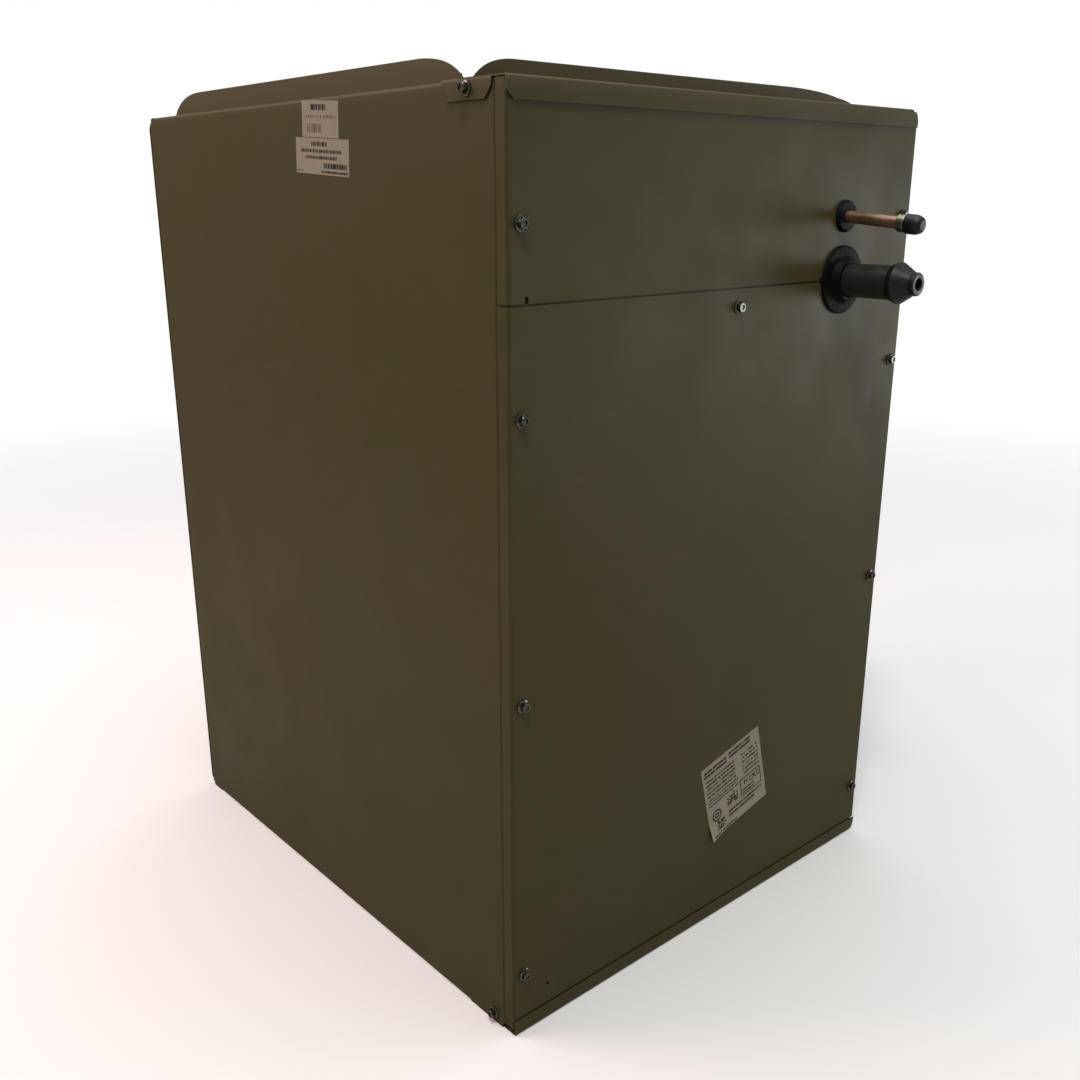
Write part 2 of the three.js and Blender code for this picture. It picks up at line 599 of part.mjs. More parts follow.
function slabPoint(side, across, y, along) {
  const x = side * (SLAB.footX - along * Math.sin(LEAN)) + across * Math.cos(LEAN);
  const z = SLAB.footZ + along * Math.cos(LEAN) + side * across * Math.sin(LEAN);
  return [x, y, z];
}

function finPack(side) {
  const block = box([-SLAB.half, SLAB.half], [SLAB.front, SLAB.back], [0, SLAB.length]);
  const holes = Array.from({ length: PASS.count }, (_, k) =>
    bar("y", [slabAcross(k, side), 0, slabAlong(k)], PASS.hole, [SLAB.front - 2, SLAB.back + 2], 6),
  );
  return cut(block, ...holes);
}

// The end plate of a slab: slots for the tube bends, and a stiffening flange along both long edges.
function tubeSheet(side, rear) {
  const half = SLAB.half + 2;
  const plate = rear ? [SLAB.back + 0.3, SLAB.back + 1.5] : [SLAB.front - 1.5, SLAB.front - 0.3];
  const flange = rear ? [plate[0], plate[1] + 10] : [plate[0] - 10, plate[1]];
  const length = [-12, SLAB.length + 2];
  const sheet = join(
    box([-half, half], plate, length),
    box([-half, -half + 1.2], flange, length),
    box([half - 1.2, half], flange, length),
  );
  const slots = [];
  for (let k = rear ? 0 : -1; k < PASS.count; k += 2) {
    const held = [k, k + 1].filter((i) => i >= 0 && i < PASS.count);
    const ends = held.map((i) => new THREE.Vector2(slabAcross(i, side), slabAlong(i)));
    const middle = ends.reduce((sum, p) => sum.add(p), new THREE.Vector2()).divideScalar(ends.length);
    const reach = ends.length === 2 ? 2 * PASS.row : 0;
    const rise = ends.length === 2 ? PASS.step : 0;
    const slot = new THREE.BoxGeometry(Math.hypot(reach, rise) + 2 * PASS.hole, 6, 2 * PASS.hole);
    slot.rotateY(-Math.atan2(rise, slabAcross(k + 1, side) - slabAcross(k, side)));
    slot.translate(middle.x, (plate[0] + plate[1]) / 2, middle.y);
    slots.push(solid(slot));
  }
  return cut(sheet, ...slots);
}

// One continuous copper tube that goes to and fro through the slab.
function coilTubes(side) {
  const at = (k, y) => new THREE.Vector3(slabAcross(k, side), y, slabAlong(k));
  const frontTurn = SLAB.front - 2.5;
  const rearTurn = SLAB.back + 2.5;
  const route = [{ at: at(0, PASS.end), along: new THREE.Vector3(0, 1, 0) }];
  const bendSteps = 3;
  for (let k = 0; k < PASS.count - 1; k++) {
    const forward = k % 2 === 0 ? 1 : -1;
    const turnY = forward > 0 ? rearTurn : frontTurn;
    const from = at(k, turnY);
    const to = at(k + 1, turnY);
    const middle = from.clone().add(to).divideScalar(2);
    const arm = from.clone().sub(middle);
    for (let step = 0; step <= bendSteps; step++) {
      const angle = (Math.PI * step) / bendSteps;
      const point = middle.clone().addScaledVector(arm, Math.cos(angle));
      point.y += forward * arm.length() * Math.sin(angle);
      const along = arm.clone().normalize().multiplyScalar(-Math.sin(angle));
      along.y += forward * Math.cos(angle);
      route.push({ at: point, along });
    }
  }
  route.push({ at: at(PASS.count - 1, PASS.end), along: new THREE.Vector3(0, -1, 0) });
  return tubeGeometry(route, PASS.tube, 6);
}

for (const [name, side] of SIDES) {
  const slab = new THREE.Group();
  slab.position.set(side * SLAB.footX, 0, SLAB.footZ);
  slab.rotation.y = -side * LEAN;
  cabinet.add(slab);
  place(`${name}_fin_pack`, finPack(side), ALUMINIUM, slab);
  place(`${name}_front_tube_sheet`, tubeSheet(side, false), GALVANISED, slab);
  place(`${name}_rear_tube_sheet`, tubeSheet(side, true), GALVANISED, slab);
  place(`${name}_coil_tubes`, coilTubes(side), COPPER, slab);
}

function apexCap() {
  const clear = SLAB.half + 1.2;
  const [hipX, , hipZ] = slabPoint(1, clear, 0, SLAB.length + 2);
  const [skirtX, , skirtZ] = slabPoint(1, clear, 0, SLAB.length - 22);
  const line = [[-skirtX, skirtZ], [-hipX, hipZ], [hipX, hipZ], [skirtX, skirtZ]];
  return prism("xz", foldedSheet(line, BEND, 1.0), [SLAB.front + 1, SLAB.back - 1]);
}
place("apex_cap", apexCap(), GALVANISED);

function deltaPlate([from, to]) {
  const inset = -SLAB.half - 4;
  const [footX, , footZ] = slabPoint(1, inset, 0, 25);
  const [headX, , headZ] = slabPoint(1, inset, 0, SLAB.length - 14);
  const corners = [[-footX, footZ], [footX, footZ], [headX, headZ], [-headX, headZ]];
  return prism("xz", new THREE.Shape(corners.map(([x, z]) => new THREE.Vector2(x, z))), [from, to]);
}
place("front_delta_plate", deltaPlate([70, 71]), GALVANISED);
place("rear_delta_plate", deltaPlate([469, 470]), GALVANISED);

// ---- Refrigerant pipes ------------------------------------------------------------------------------

// Where the open end of a pass of the coil tube meets the pipe that feeds or drains it.
const passEnd = (side, k) => slabPoint(side, slabAcross(k, side), PASS.end - GAP, slabAlong(k));

function suctionHeader() {
  const stubs = SIDES.map(([, side]) => {
    const [x, y, z] = passEnd(side, PASS.count - 1);
    return bar("y", [x, 0, z], 6.2, [HEADER_Y + 4, y], 12);
  });
  return join(bar("x", [0, HEADER_Y, SUCTION.z], SUCTION.tube, [-66, 92], 16), ...stubs);
}
place("suction_header", suctionHeader(), COPPER);

const TUBE_END = SLEEVE_END - 11;
function suctionLine() {
  const { x, z, tube: radius, bore } = SUCTION;
  const pipe = tube([[92.3, HEADER_Y, z], [x, HEADER_Y, z], [x, TUBE_END, z]], radius, 22, 16, 5);
  return cut(pipe, bar("y", [x, 0, z], bore, [TUBE_END - 2, TUBE_END + 30], 16));
}
place("suction_line", suctionLine(), COPPER);

const LIQUID_RISER_X = 166;
const LIQUID_END = -60;
const BREAK_Y = 0;
const FALL = THREE.MathUtils.degToRad(LIQUID.fall);
const liquidDrop = (y) => LIQUID.z - (BREAK_Y - y) * Math.tan(FALL);
const liquidEnd = [LIQUID.x, LIQUID_END, liquidDrop(LIQUID_END)];
const DISTRIBUTOR_TOP = 330;
function liquidLine() {
  const pipe = tube(
    [
      [LIQUID_RISER_X, HEADER_Y, DISTRIBUTOR_TOP + GAP],
      [LIQUID_RISER_X, HEADER_Y, LIQUID.z],
      [LIQUID.x, HEADER_Y, LIQUID.z],
      [LIQUID.x, BREAK_Y, LIQUID.z],
      liquidEnd,
    ],
    LIQUID.tube,
    12,
    12,
    4,
  );
  const bore = new THREE.CylinderGeometry(LIQUID.bore, LIQUID.bore, 40, 12);
  bore.rotateX(-FALL).translate(...liquidEnd);
  return cut(pipe, solid(bore));
}
place("liquid_line", liquidLine(), COPPER);

const DISTRIBUTOR_BASE = 285;
function distributor() {
  const inlet = [[0, 0], [9, 0], [13, 4], [13, 12], [8, 20], [8, 23]];
  const profile = [...inlet, [11, 23], [11, 40], [7.5, 42], [7.5, 45], [0, 45]];
  const body = new THREE.LatheGeometry(profile.map(([r, z]) => new THREE.Vector2(r, z)), 12);
  return body.rotateX(Math.PI / 2).translate(LIQUID_RISER_X, HEADER_Y, DISTRIBUTOR_BASE);
}
place("distributor", distributor(), BRASS);

for (const [name, side] of SIDES) {
  const [x, y, z] = passEnd(side, 0);
  const startX = LIQUID_RISER_X + side * 5;
  const lead = side > 0 ? [[startX, HEADER_Y, 110]] : [[startX, HEADER_Y, 190], [x, HEADER_Y, 130]];
  const route = [[startX, HEADER_Y, DISTRIBUTOR_BASE - GAP], ...lead, [x, HEADER_Y, z], [x, y, z]];
  place(`${name}_feeder_tube`, tube(route, 3.2, 8, 8, 3), COPPER);
}

// ---- Pipe stub fittings -----------------------------------------------------------------------------

// Turned pieces are drawn with radius and distance in front of the panel face, then set on their own pipe.
function onSuction(name, profile, material, segments = 20) {
  const mesh = place(name, turned(profile, segments), material);
  mesh.position.set(SUCTION.x, 0, SUCTION.z);
}
const SLEEVE_BORE = SUCTION.tube + 0.35;
const GROMMET_BORE = SUCTION.sleeve + 0.35;
onSuction(
  "suction_grommet",
  [
    [GROMMET_BORE, -3],
    [19, -3],
    [19, 0.3],
    [27, 0.3],
    [27, 1.8],
    [26, 2.6],
    [18.5, 3.4],
    [16, 9.5],
    [GROMMET_BORE, 9.5],
    [GROMMET_BORE, -3],
  ],
  BLACK_RUBBER,
);
onSuction(
  "suction_sleeve",
  [
    [SLEEVE_BORE, -8],
    [SUCTION.sleeve, -8],
    [SUCTION.sleeve, -SLEEVE_END],
    [SLEEVE_BORE, -SLEEVE_END],
    [SLEEVE_BORE, -8],
  ],
  BLACK_PLASTIC,
);
const plugFoot = -SLEEVE_END + GAP;
const plugEnd = -STUB_END;
onSuction(
  "suction_plug",
  [
    [SLEEVE_BORE, plugFoot],
    [13.9, plugFoot],
    [14.6, plugFoot + 2.6],
    [16, plugFoot + 5.4],
    [16, plugFoot + 6.6],
    [9.8, plugEnd - 5],
    [9, plugEnd - 4],
    [9, plugEnd - 0.8],
    [8.2, plugEnd],
    [4.6, plugEnd],
    [4.6, plugEnd - 7.5],
    [0, plugEnd - 7.5],
    [0, plugFoot + 11.6],
    [SLEEVE_BORE, plugFoot + 11.6],
    [SLEEVE_BORE, plugFoot],
  ],
  BLACK_RUBBER,
);

function onLiquid(name, profile, material, tilted, segments = 12) {
  const mesh = place(name, turned(profile, segments), material);
  mesh.position.set(LIQUID.x, tilted ? BREAK_Y : 0, LIQUID.z);
  if (tilted) mesh.rotation.x = FALL;
}
const LIQUID_BORE = LIQUID.tube + 0.5;
onLiquid(
  "liquid_grommet",
  [
    [LIQUID_BORE, -3],
    [8.2, -3],
    [8.2, 0.3],
    [12.5, 0.3],
    [12.5, 1.6],
    [11.2, 3.7],
    [LIQUID_BORE, 3.7],
    [LIQUID_BORE, -3],
  ],
  BLACK_RUBBER,
  false,
);
onLiquid(
  "liquid_collar",
  [[LIQUID_BORE, 49.4], [6.8, 49.4], [6.8, 56], [LIQUID_BORE, 56], [LIQUID_BORE, 49.4]],
  BRASS,
  true,
);
onLiquid(
  "liquid_cap",
  [
    [LIQUID_BORE, 56.3],
    [7.2, 56.3],
    [7.5, 58.4],
    [7.4, 64.6],
    [6.4, 67.8],
    [4.6, 69.6],
    [0, 69.9],
    [0, 62],
    [LIQUID_BORE, 62],
    [LIQUID_BORE, 56.3],
  ],
  BLACK_RUBBER,
  true,
);

// ---- Screws -----------------------------------------------------------------------------------------

// A hex washer-head screw, seated at its own origin with its head along +Z.
function hexScrew() {
  return join(
    bar("z", [0, 0, 0], SCREW.washer, [0, SCREW.washerThick], 8),
    bar("z", [0, 0, 0], SCREW.head, [SCREW.washerThick - 0.2, SCREW.washerThick + SCREW.headTall], 6),
    bar("z", [0, 0, 0], SCREW.shank, [-SCREW.length, 0.2], 5),
  );
}
const OUTWARD = {
  front: [0, -1, 0],
  back: [0, 1, 0],
  left: [-1, 0, 0],
  right: [1, 0, 0],
};
function screw(name, face, position) {
  const mesh = place(name, hexScrew(), ZINC);
  const outward = new THREE.Vector3(...OUTWARD[face]);
  mesh.position.set(...position).addScaledVector(outward, GAP);
  mesh.quaternion.setFromUnitVectors(new THREE.Vector3(0, 0, 1), outward);
}
screw("access_screw_centre", "front", [0, 0, CENTRE_SCREW_Z]);
for (const [name, side] of SIDES) {
  const edge = acrossAt(side, EDGE_SCREW_U);
  for (const [level, z] of Object.entries(ACCESS_SCREWS)) {
    screw(`access_screw_${name}_${level}`, "front", [edge, 0, z]);
  }
  screw(`upper_panel_screw_${name}`, "front", [edge, 0, UPPER_SCREW_Z]);
  screw(`top_rail_screw_${name}`, name, [side * (HALF_WIDTH + SKIN), TOP_EAR_SCREW.y, TOP_EAR_SCREW.z]);
  screw(`base_rail_screw_${name}`, name, [side * HALF_WIDTH, BASE_EAR_SCREW.y, BASE_EAR_SCREW.z]);
  BACK_SCREW.z.forEach((z, i) => {
    screw(`back_screw_${name}_${["low", "high"][i]}`, "back", [acrossAt(side, BACK_SCREW.u), CASE_DEPTH, z]);
  });
}

export default part;
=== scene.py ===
"""The looks of a cased evaporator coil: painted steel cabinet, A-shaped coil, drain pan and pipe stubs."""
import json
import math

import bmesh
import bpy
from mathutils import Matrix, Vector

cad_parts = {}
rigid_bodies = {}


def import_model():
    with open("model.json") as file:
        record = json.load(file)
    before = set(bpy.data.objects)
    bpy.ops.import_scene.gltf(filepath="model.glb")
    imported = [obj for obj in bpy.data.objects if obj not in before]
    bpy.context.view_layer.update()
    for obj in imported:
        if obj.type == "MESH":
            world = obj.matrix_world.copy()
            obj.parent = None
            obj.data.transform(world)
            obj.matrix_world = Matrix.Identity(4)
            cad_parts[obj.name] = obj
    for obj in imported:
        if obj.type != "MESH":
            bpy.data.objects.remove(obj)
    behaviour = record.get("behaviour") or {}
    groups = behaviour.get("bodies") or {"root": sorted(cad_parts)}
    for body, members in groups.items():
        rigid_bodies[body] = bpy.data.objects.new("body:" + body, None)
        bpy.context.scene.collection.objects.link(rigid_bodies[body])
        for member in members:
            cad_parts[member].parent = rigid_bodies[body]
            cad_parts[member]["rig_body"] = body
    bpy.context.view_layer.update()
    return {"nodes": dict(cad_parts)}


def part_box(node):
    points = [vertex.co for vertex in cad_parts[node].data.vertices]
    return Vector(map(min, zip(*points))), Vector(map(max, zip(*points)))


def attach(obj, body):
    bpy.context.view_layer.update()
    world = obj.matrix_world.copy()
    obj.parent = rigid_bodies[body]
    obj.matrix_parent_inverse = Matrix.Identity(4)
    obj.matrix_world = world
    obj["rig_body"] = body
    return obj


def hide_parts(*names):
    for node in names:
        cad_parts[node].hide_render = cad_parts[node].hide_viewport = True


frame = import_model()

# ---- Driving dimensions, in millimetres, in the cabinet's own coordinates --
# X runs right from the middle, Y runs back from the front panel's face, and Z runs up from the floor.

MM = 0.001
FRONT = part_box("lower_access_panel")[0].y / MM


def extent(node):
    """A CAD node's lowest and highest corners, in millimetres from the front panel's face."""
    low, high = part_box(node)
    shift = Vector((0, FRONT, 0))
    return low / MM - shift, high / MM - shift


def middle(node):
    low, high = extent(node)
    return (low + high) / 2


DUCT_TAB = 16
SHEET = 1.0
GAP = 0.3
BEND = 1.6
UPTURN_BEND = 2
BEND_STEPS = 6
HALF_WIDTH = extent("lower_access_panel")[1].x
CASE_DEPTH = extent("back_panel")[1].y
CASE_HEIGHT = extent("top_front_rail")[1].z - DUCT_TAB

SLIT_WIDTH = 1.5
SLIT = extent("lower_access_panel")[1].z + SLIT_WIDTH / 2
FRONT_RETURN = 10
FRONT_FLANGE = 26
REAR_FLANGE = 22
CORNER_ROUND = 10
TOP_LIP = 14
TOP_LIP_ENDS = (-222.95, 220.25)
TOP_LIP_CHAMFER = (5.8, 5)
TOP_SHELF = 59
SIDE_SHELF = 9.5
EAR_FRONT, EAR_BACK, EAR_BACK_LOW = 12, 62, 56
EAR_HEIGHT, EAR_CHAMFER, EAR_SHELF = 13, (6.6, 7.5), 6.5
BASE_LIP = 12.4
BASE_SHELF = 25
BASE_EAR = (15, 50)

SKIN = SHEET + GAP
SHEET_MID = SHEET / 2
INNER_MID = SKIN + SHEET_MID
WALL_TOP = CASE_HEIGHT - SKIN

SUCTION = middle("suction_grommet")
SUCTION_TUBE = 11.1
SLEEVE = 13.2
LIQUID = middle("liquid_grommet")
LIQUID_TUBE = 4.75
SUCTION_SPOT, LIQUID_SPOT = (SUCTION.x, SUCTION.z), (LIQUID.x, LIQUID.z)
LIQUID_FALL = math.radians(5)
BREAK_Y = 0
STUB_END = extent("suction_plug")[0].y
SLEEVE_END = extent("suction_sleeve")[0].y

PAN_HALF, PAN_FRONT, PAN_BACK = 203, 19, 491
PAN_BOTTOM, PAN_TOP, PAN_RIM = 30.3, 72, 66
PAN_WALL, PAN_TROUGH = 3, 75
DRAINS = ((52, 48), (100, 57))
DRAIN_BOSS, DRAIN_BORE = 14, 10.8

SLAB_HALF, SLAB_FRONT, SLAB_BACK, SLAB_LENGTH = 22, 78, 462, 520
SLAB_FOOT_X, SLAB_FOOT_Z = 165, 52
LEAN = math.radians(14.5)
PASSES, FIRST_PASS, PASS_STEP, PASS_ROW, PASS_END = 32, 14, 15.875, 11, 58
PASS_HOLE, TURN_CLEAR = 5.5, 2.5
HEADER_Y = 36

EDGE_SCREW = 10.5
ACCESS_SCREWS = {"top": 471, "middle": 271, "bottom": 51}
UPPER_SCREW_Z = 592
CENTRE_SCREW_Z = 529
TOP_EAR_SCREW = (36, 670)
BASE_EAR_SCREW = (23, 8)
BACK_SCREW_U = 11
BACK_SCREWS = {"low": 170, "high": 500}
SCREW_HOLE = 2.65
ACROSS_CABINET = (-HALF_WIDTH - 3, HALF_WIDTH + 3)

SIDES = (("left", -1), ("right", 1))

# ---- Camera, light and floor -----------------------------------------------

SENSOR = 36
LENS = 37.07
CAMERA_PLACE = (-0.66435, -0.75545, 0.608)
CAMERA_DOWN, CAMERA_TURN = math.radians(17.2), math.radians(-41.25)
HORIZON, ZENITH = 0.19, 0.50
FLOOR_HALF = 30000
FLOOR_FADE = (0.9, 2.4)


def placed(name, data):
    """A new object in the scene."""
    made = bpy.data.objects.new(name, data)
    bpy.context.scene.collection.objects.link(made)
    return made


def camera():
    data = bpy.data.cameras.new("camera")
    data.sensor_width = SENSOR
    data.lens = LENS
    seen = placed("camera", data)
    seen.location = CAMERA_PLACE
    seen.rotation_euler = (math.pi / 2 - CAMERA_DOWN, 0, CAMERA_TURN)
    bpy.context.scene.camera = seen


def softbox(name, place, aim, size, power, colour):
    data = bpy.data.lights.new(name, "AREA")
    data.shape = "RECTANGLE"
    data.size, data.size_y = size
    data.energy = power
    data.color = colour
    light = placed(name, data)
    light.location = place
    light.rotation_euler = (Vector(aim) - Vector(place)).to_track_quat("-Z", "Y").to_euler()


def sky():
    """White to the camera; everything else sees a dim horizon below a brighter ceiling."""
    world = bpy.data.worlds.new("studio")
    world.use_nodes = True
    air = Nodes(world.node_tree)
    place = air.add("ShaderNodeTexCoord").outputs["Generated"]
    height = air.add("ShaderNodeSeparateXYZ", {"Vector": place}).outputs["Z"]
    seen = air.add("ShaderNodeLightPath").outputs["Is Camera Ray"]
    light = air.between(height, 0.0, 0.9, HORIZON, ZENITH)
    background = air.tree.nodes["Background"].inputs
    air.feed(background["Color"], (1, 1, 1))
    air.feed(background["Strength"], air.math("MAXIMUM", seen, light))
    bpy.context.scene.world = world


def studio():
    sky()
    bpy.context.scene.view_settings.view_transform = "Standard"
    softbox("ceiling_light", (0.1, 0.0, 3.2), (0, 0, 0), (3.0, 3.0), 48, (0.98, 1, 0.98))
    softbox("lamp", (-1.05, -0.95, 3.1), (0, 0, 0.4), (0.35, 0.35), 32, (1, 0.86, 0.7))
    softbox("sheen_light", (2.3, -1.5, 0.36), (0.1, -0.2, 0.3), (1.3, 0.6), 15, (0.98, 1, 1))
    softbox("side_light", (-1.3, 1.0, 1.45), (-0.2, 0.2, 0.6), (0.9, 0.9), 16, (1, 0.60, 0.52))
    show_floor()


# ---- Solids ----------------------------------------------------------------

def solid(points, faces):
    """A closed mesh object in cabinet millimetres, with its faces turned outwards."""
    mesh = bpy.data.meshes.new("work")
    mesh.from_pydata([tuple(p) for p in points], [], faces)
    built = bmesh.new()
    built.from_mesh(mesh)
    bmesh.ops.recalc_face_normals(built, faces=built.faces)
    built.to_mesh(mesh)
    built.free()
    return placed("work", mesh)


def merge(pieces):
    """Separate solids as one mesh object; they don't touch each other."""
    built = bmesh.new()
    for made in pieces:
        built.from_mesh(made.data)
        bpy.data.objects.remove(made)
    mesh = bpy.data.meshes.new("work")
    built.to_mesh(mesh)
    built.free()
    return placed("work", mesh)


def applied(made):
    """The same object with its modifier worked into its mesh."""
    graph = bpy.context.evaluated_depsgraph_get()
    result = bpy.data.meshes.new_from_object(made.evaluated_get(graph))
    made.modifiers.clear()
    made.data = result
    return made


def boolean(made, tool, operation):
    modifier = made.modifiers.new("boolean", "BOOLEAN")
    modifier.operation = operation
    modifier.solver = "MANIFOLD"
    modifier.object = tool
    applied(made)
    bpy.data.objects.remove(tool)
    return made


def join(first, *others):
    for other in others:
        boolean(first, other, "UNION")
    return first


def cut(made, *tools):
    return boolean(made, merge(tools) if len(tools) > 1 else tools[0], "DIFFERENCE")


def spread(plane, u, v, w):
    """A point of an outline drawn in one plane, at distance w along the third axis."""
    return {"xy": (u, v, w), "xz": (u, w, v), "yz": (w, u, v)}[plane]


def ringed(points, count):
    """A solid from rings of points, each with the same count, with its two end rings closed."""
    faces = [tuple(range(count)), tuple(range(len(points) - count, len(points)))]
    for start in range(0, len(points) - count, count):
        for i in range(count):
            a, b = start + i, start + (i + 1) % count
            faces.append((a, b, b + count, a + count))
    return solid(points, faces)


def prism(plane, outline, stations):
    """An outline drawn out along the third axis, with a ring of points at each station."""
    return ringed([spread(plane, u, v, w) for w in stations for u, v in outline], len(outline))


def box(x, y, z):
    return prism("xy", [(x[0], y[0]), (x[1], y[0]), (x[1], y[1]), (x[0], y[1])], z)


def circle(radius, sides, centre=(0, 0)):
    angles = [2 * math.pi * i / sides for i in range(sides)]
    return [(centre[0] + radius * math.cos(a), centre[1] + radius * math.sin(a)) for a in angles]


def bar(axis, centre, radius, stations, sides):
    """A round bar along X, Y or Z; centre gives the other two coordinates in their own order."""
    plane = {"x": "yz", "y": "xz", "z": "xy"}[axis]
    return prism(plane, circle(radius, sides, centre), stations)


def rounded_route(points, radius, steps, straight=0):
    """A route through corner points with each corner rounded: (point, unit direction) pairs."""
    points = [Vector(p).to_3d() for p in points]
    ways = [(b - a).normalized() for a, b in zip(points, points[1:])]
    route = [(points[0], ways[0])]
    for corner, before, after in zip(points[1:-1], ways, ways[1:]):
        turn = before.angle(after)
        if turn < 1e-4:
            continue
        start = corner - before * radius * math.tan(turn / 2)
        inward = (after - before * before.dot(after)).normalized()
        for k in range(steps + 1):
            a = turn * k / steps
            at = start + before * radius * math.sin(a) + inward * radius * (1 - math.cos(a))
            if (at - route[-1][0]).length > 1e-3:
                route.append((at, before * math.cos(a) + inward * math.sin(a)))
    route.append((points[-1], ways[-1]))
    return dense(route, straight) if straight else route


def dense(route, step):
    """The same route with points no further apart than a step along its straights."""
    out = [route[0]]
    for (a, _), (b, way) in zip(route, route[1:]):
        length = (b - a).length
        parts = max(1, math.ceil(length / step))
        straight_way = (b - a).normalized() if length > 1e-9 else way
        out += [(a.lerp(b, i / parts), straight_way) for i in range(1, parts)]
        out.append((b, way))
    return out


def folded_sheet(points, bend=BEND, thickness=SHEET, straight=0):
    """The outline of a folded sheet, given the middle line of its section."""
    route = rounded_route(points, bend, BEND_STEPS, straight)
    offset = [(p, Vector((-way.y, way.x, 0)) * thickness / 2) for p, way in route]
    one = [p + o for p, o in offset]
    two = [p - o for p, o in reversed(offset)]
    return [(p.x, p.y) for p in one + two]


def quadratic(start, control, end, steps=14):
    return [
        tuple((1 - t) ** 2 * a + 2 * t * (1 - t) * b + t * t * c for a, b, c in zip(start, control, end))
        for t in (i / steps for i in range(steps + 1))
    ]


class Tab:
    """A duct tab whose two ends sweep up from its shelf: foot, curve pull and full height of each end."""

    def __init__(self, near, far):
        self.near, self.far = near, far

    def outline(self, foot):
        top = CASE_HEIGHT + DUCT_TAB
        (start, start_pull, start_full), (end, end_pull, end_full) = self.near, self.far
        pull = (end_pull[0], CASE_HEIGHT + end_pull[1])
        right = quadratic((end, foot), pull, (end_full, top))
        pull = (start_pull[0], CASE_HEIGHT + start_pull[1])
        return right + quadratic((start_full, top), pull, (start, foot))

    def fold(self, plane, at, shelf_z, sign):
        """The fold at the tab's foot; it stops a little inside the ends of the tab."""
        line = [(at - sign * 6, shelf_z), (at, shelf_z), (at, shelf_z + 6)]
        return prism(plane, folded_sheet(line, UPTURN_BEND), (self.near[0] + 4.5, self.far[0] - 4.5))


SIDE_TAB = Tab((49.5, (62, 15), 97), (470, (457, 16), 418))
FRONT_TAB = Tab((-202.75, (-192.25, 15.5), -168.25), (211.75, (209.75, 14.5), 127.75))
BACK_TAB = Tab((-197.25, (-188.25, 16), -177.25), (197.25, (188.25, 16), 177.25))
CORNER_STEPS = 10
OUTSIDE = 2  # how far a cutter reaches past the corner that it takes away


def corner_cutter(plane, corner, signs, radius, stations):
    """What is cut from a square corner to round it; signs point from the corner into the sheet."""
    (u, v), (su, sv) = corner, signs
    points = [(u - su * OUTSIDE, v - sv * OUTSIDE), (u + su * radius, v - sv * OUTSIDE)]
    for k in range(CORNER_STEPS + 1):
        a = math.pi / 2 * k / CORNER_STEPS
        points.append((u + su * radius * (1 - math.sin(a)), v + sv * radius * (1 - math.cos(a))))
    points.append((u - su * OUTSIDE, v + sv * radius))
    return prism(plane, points, stations)


def chamfer_cutter(plane, corner, signs, size, stations):
    """What is cut from a square corner to slant it."""
    (u, v), (su, sv), (du, dv) = corner, signs, size
    points = [
        (u - su * OUTSIDE, v - sv * OUTSIDE),
        (u + su * du, v - sv * OUTSIDE),
        (u + su * du, v),
        (u, v + sv * dv),
        (u - su * OUTSIDE, v + sv * dv),
    ]
    return prism(plane, points, stations)


def swept(route, radius, sides):
    """A round tube along a route of (point, direction) pairs."""
    side = route[0][1].orthogonal().normalized()
    points = []
    for at, along in route:
        side = (side - along * side.dot(along)).normalized()
        up = along.cross(side)
        for k in range(sides):
            a = 2 * math.pi * k / sides
            points.append(at + (side * math.cos(a) + up * math.sin(a)) * radius)
    return ringed(points, sides)


def turned(profile, sides):
    """A turned piece round -Y; the profile gives radius and distance in front of the panel face."""
    points, rings = [], []
    for radius, ahead in profile:
        if radius == 0:
            rings.append([len(points)] * sides)
            points.append((0, -ahead, 0))
        else:
            rings.append(list(range(len(points), len(points) + sides)))
            points += [(x, -ahead, z) for x, z in circle(radius, sides)]
    closed = profile[0] == profile[-1]
    if closed:
        rings[-1] = rings[0]
        points = points[:-sides]
    faces = []
    for one, two in zip(rings, rings[1:]):
        for k in range(sides):
            corners = [one[k], one[(k + 1) % sides], two[(k + 1) % sides], two[k]]
            unique = list(dict.fromkeys(corners))
            if len(unique) > 2:
                faces.append(tuple(unique))
    return solid(points, faces)


UPRIGHT = Matrix.Rotation(-math.pi / 2, 4, "X")


def moved(made, matrix):
    made.data.transform(matrix)
    return made


def soften(made, width, angle=40):
    """Small rounds on a solid's sharp edges."""
    modifier = made.modifiers.new("soften", "BEVEL")
    modifier.width = width
    modifier.segments = 3
    modifier.limit_method = "ANGLE"
    modifier.angle_limit = math.radians(angle)
    return applied(made)


def finish_mesh(made, sharp):
    """Turns cabinet millimetres into the frame's metres, and shades flats as flat and bends as smooth."""
    made.data.transform(Matrix.Scale(MM, 4) @ Matrix.Translation((0, FRONT, 0)))
    made.data.shade_smooth()
    made.data.set_sharp_from_angle(angle=math.radians(sharp))
    modifier = made.modifiers.new("flat_light", "WEIGHTED_NORMAL")
    modifier.keep_sharp = True
    modifier.weight = 90
    applied(made)


def show(node, made, *materials, sharp=30):
    """The made piece stands for a CAD node, on the same body."""
    finish_mesh(made, sharp)
    made.name = f"{node}_detail"
    made.data.name = made.name
    made.data.materials.clear()
    for material in materials:
        made.data.materials.append(material)
    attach(made, frame["nodes"][node]["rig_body"])
    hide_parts(node)
    return made


def show_two(node, made, first, second, is_second):
    """The same with two materials, the second one on the faces that a test picks out."""
    for face in show(node, made, first, second).data.polygons:
        face.material_index = int(is_second(face))


def cabinet_place(face):
    """The middle of a shown face, in cabinet millimetres."""
    return face.center / MM - Vector((0, FRONT, 0))


# ---- Materials -------------------------------------------------------------

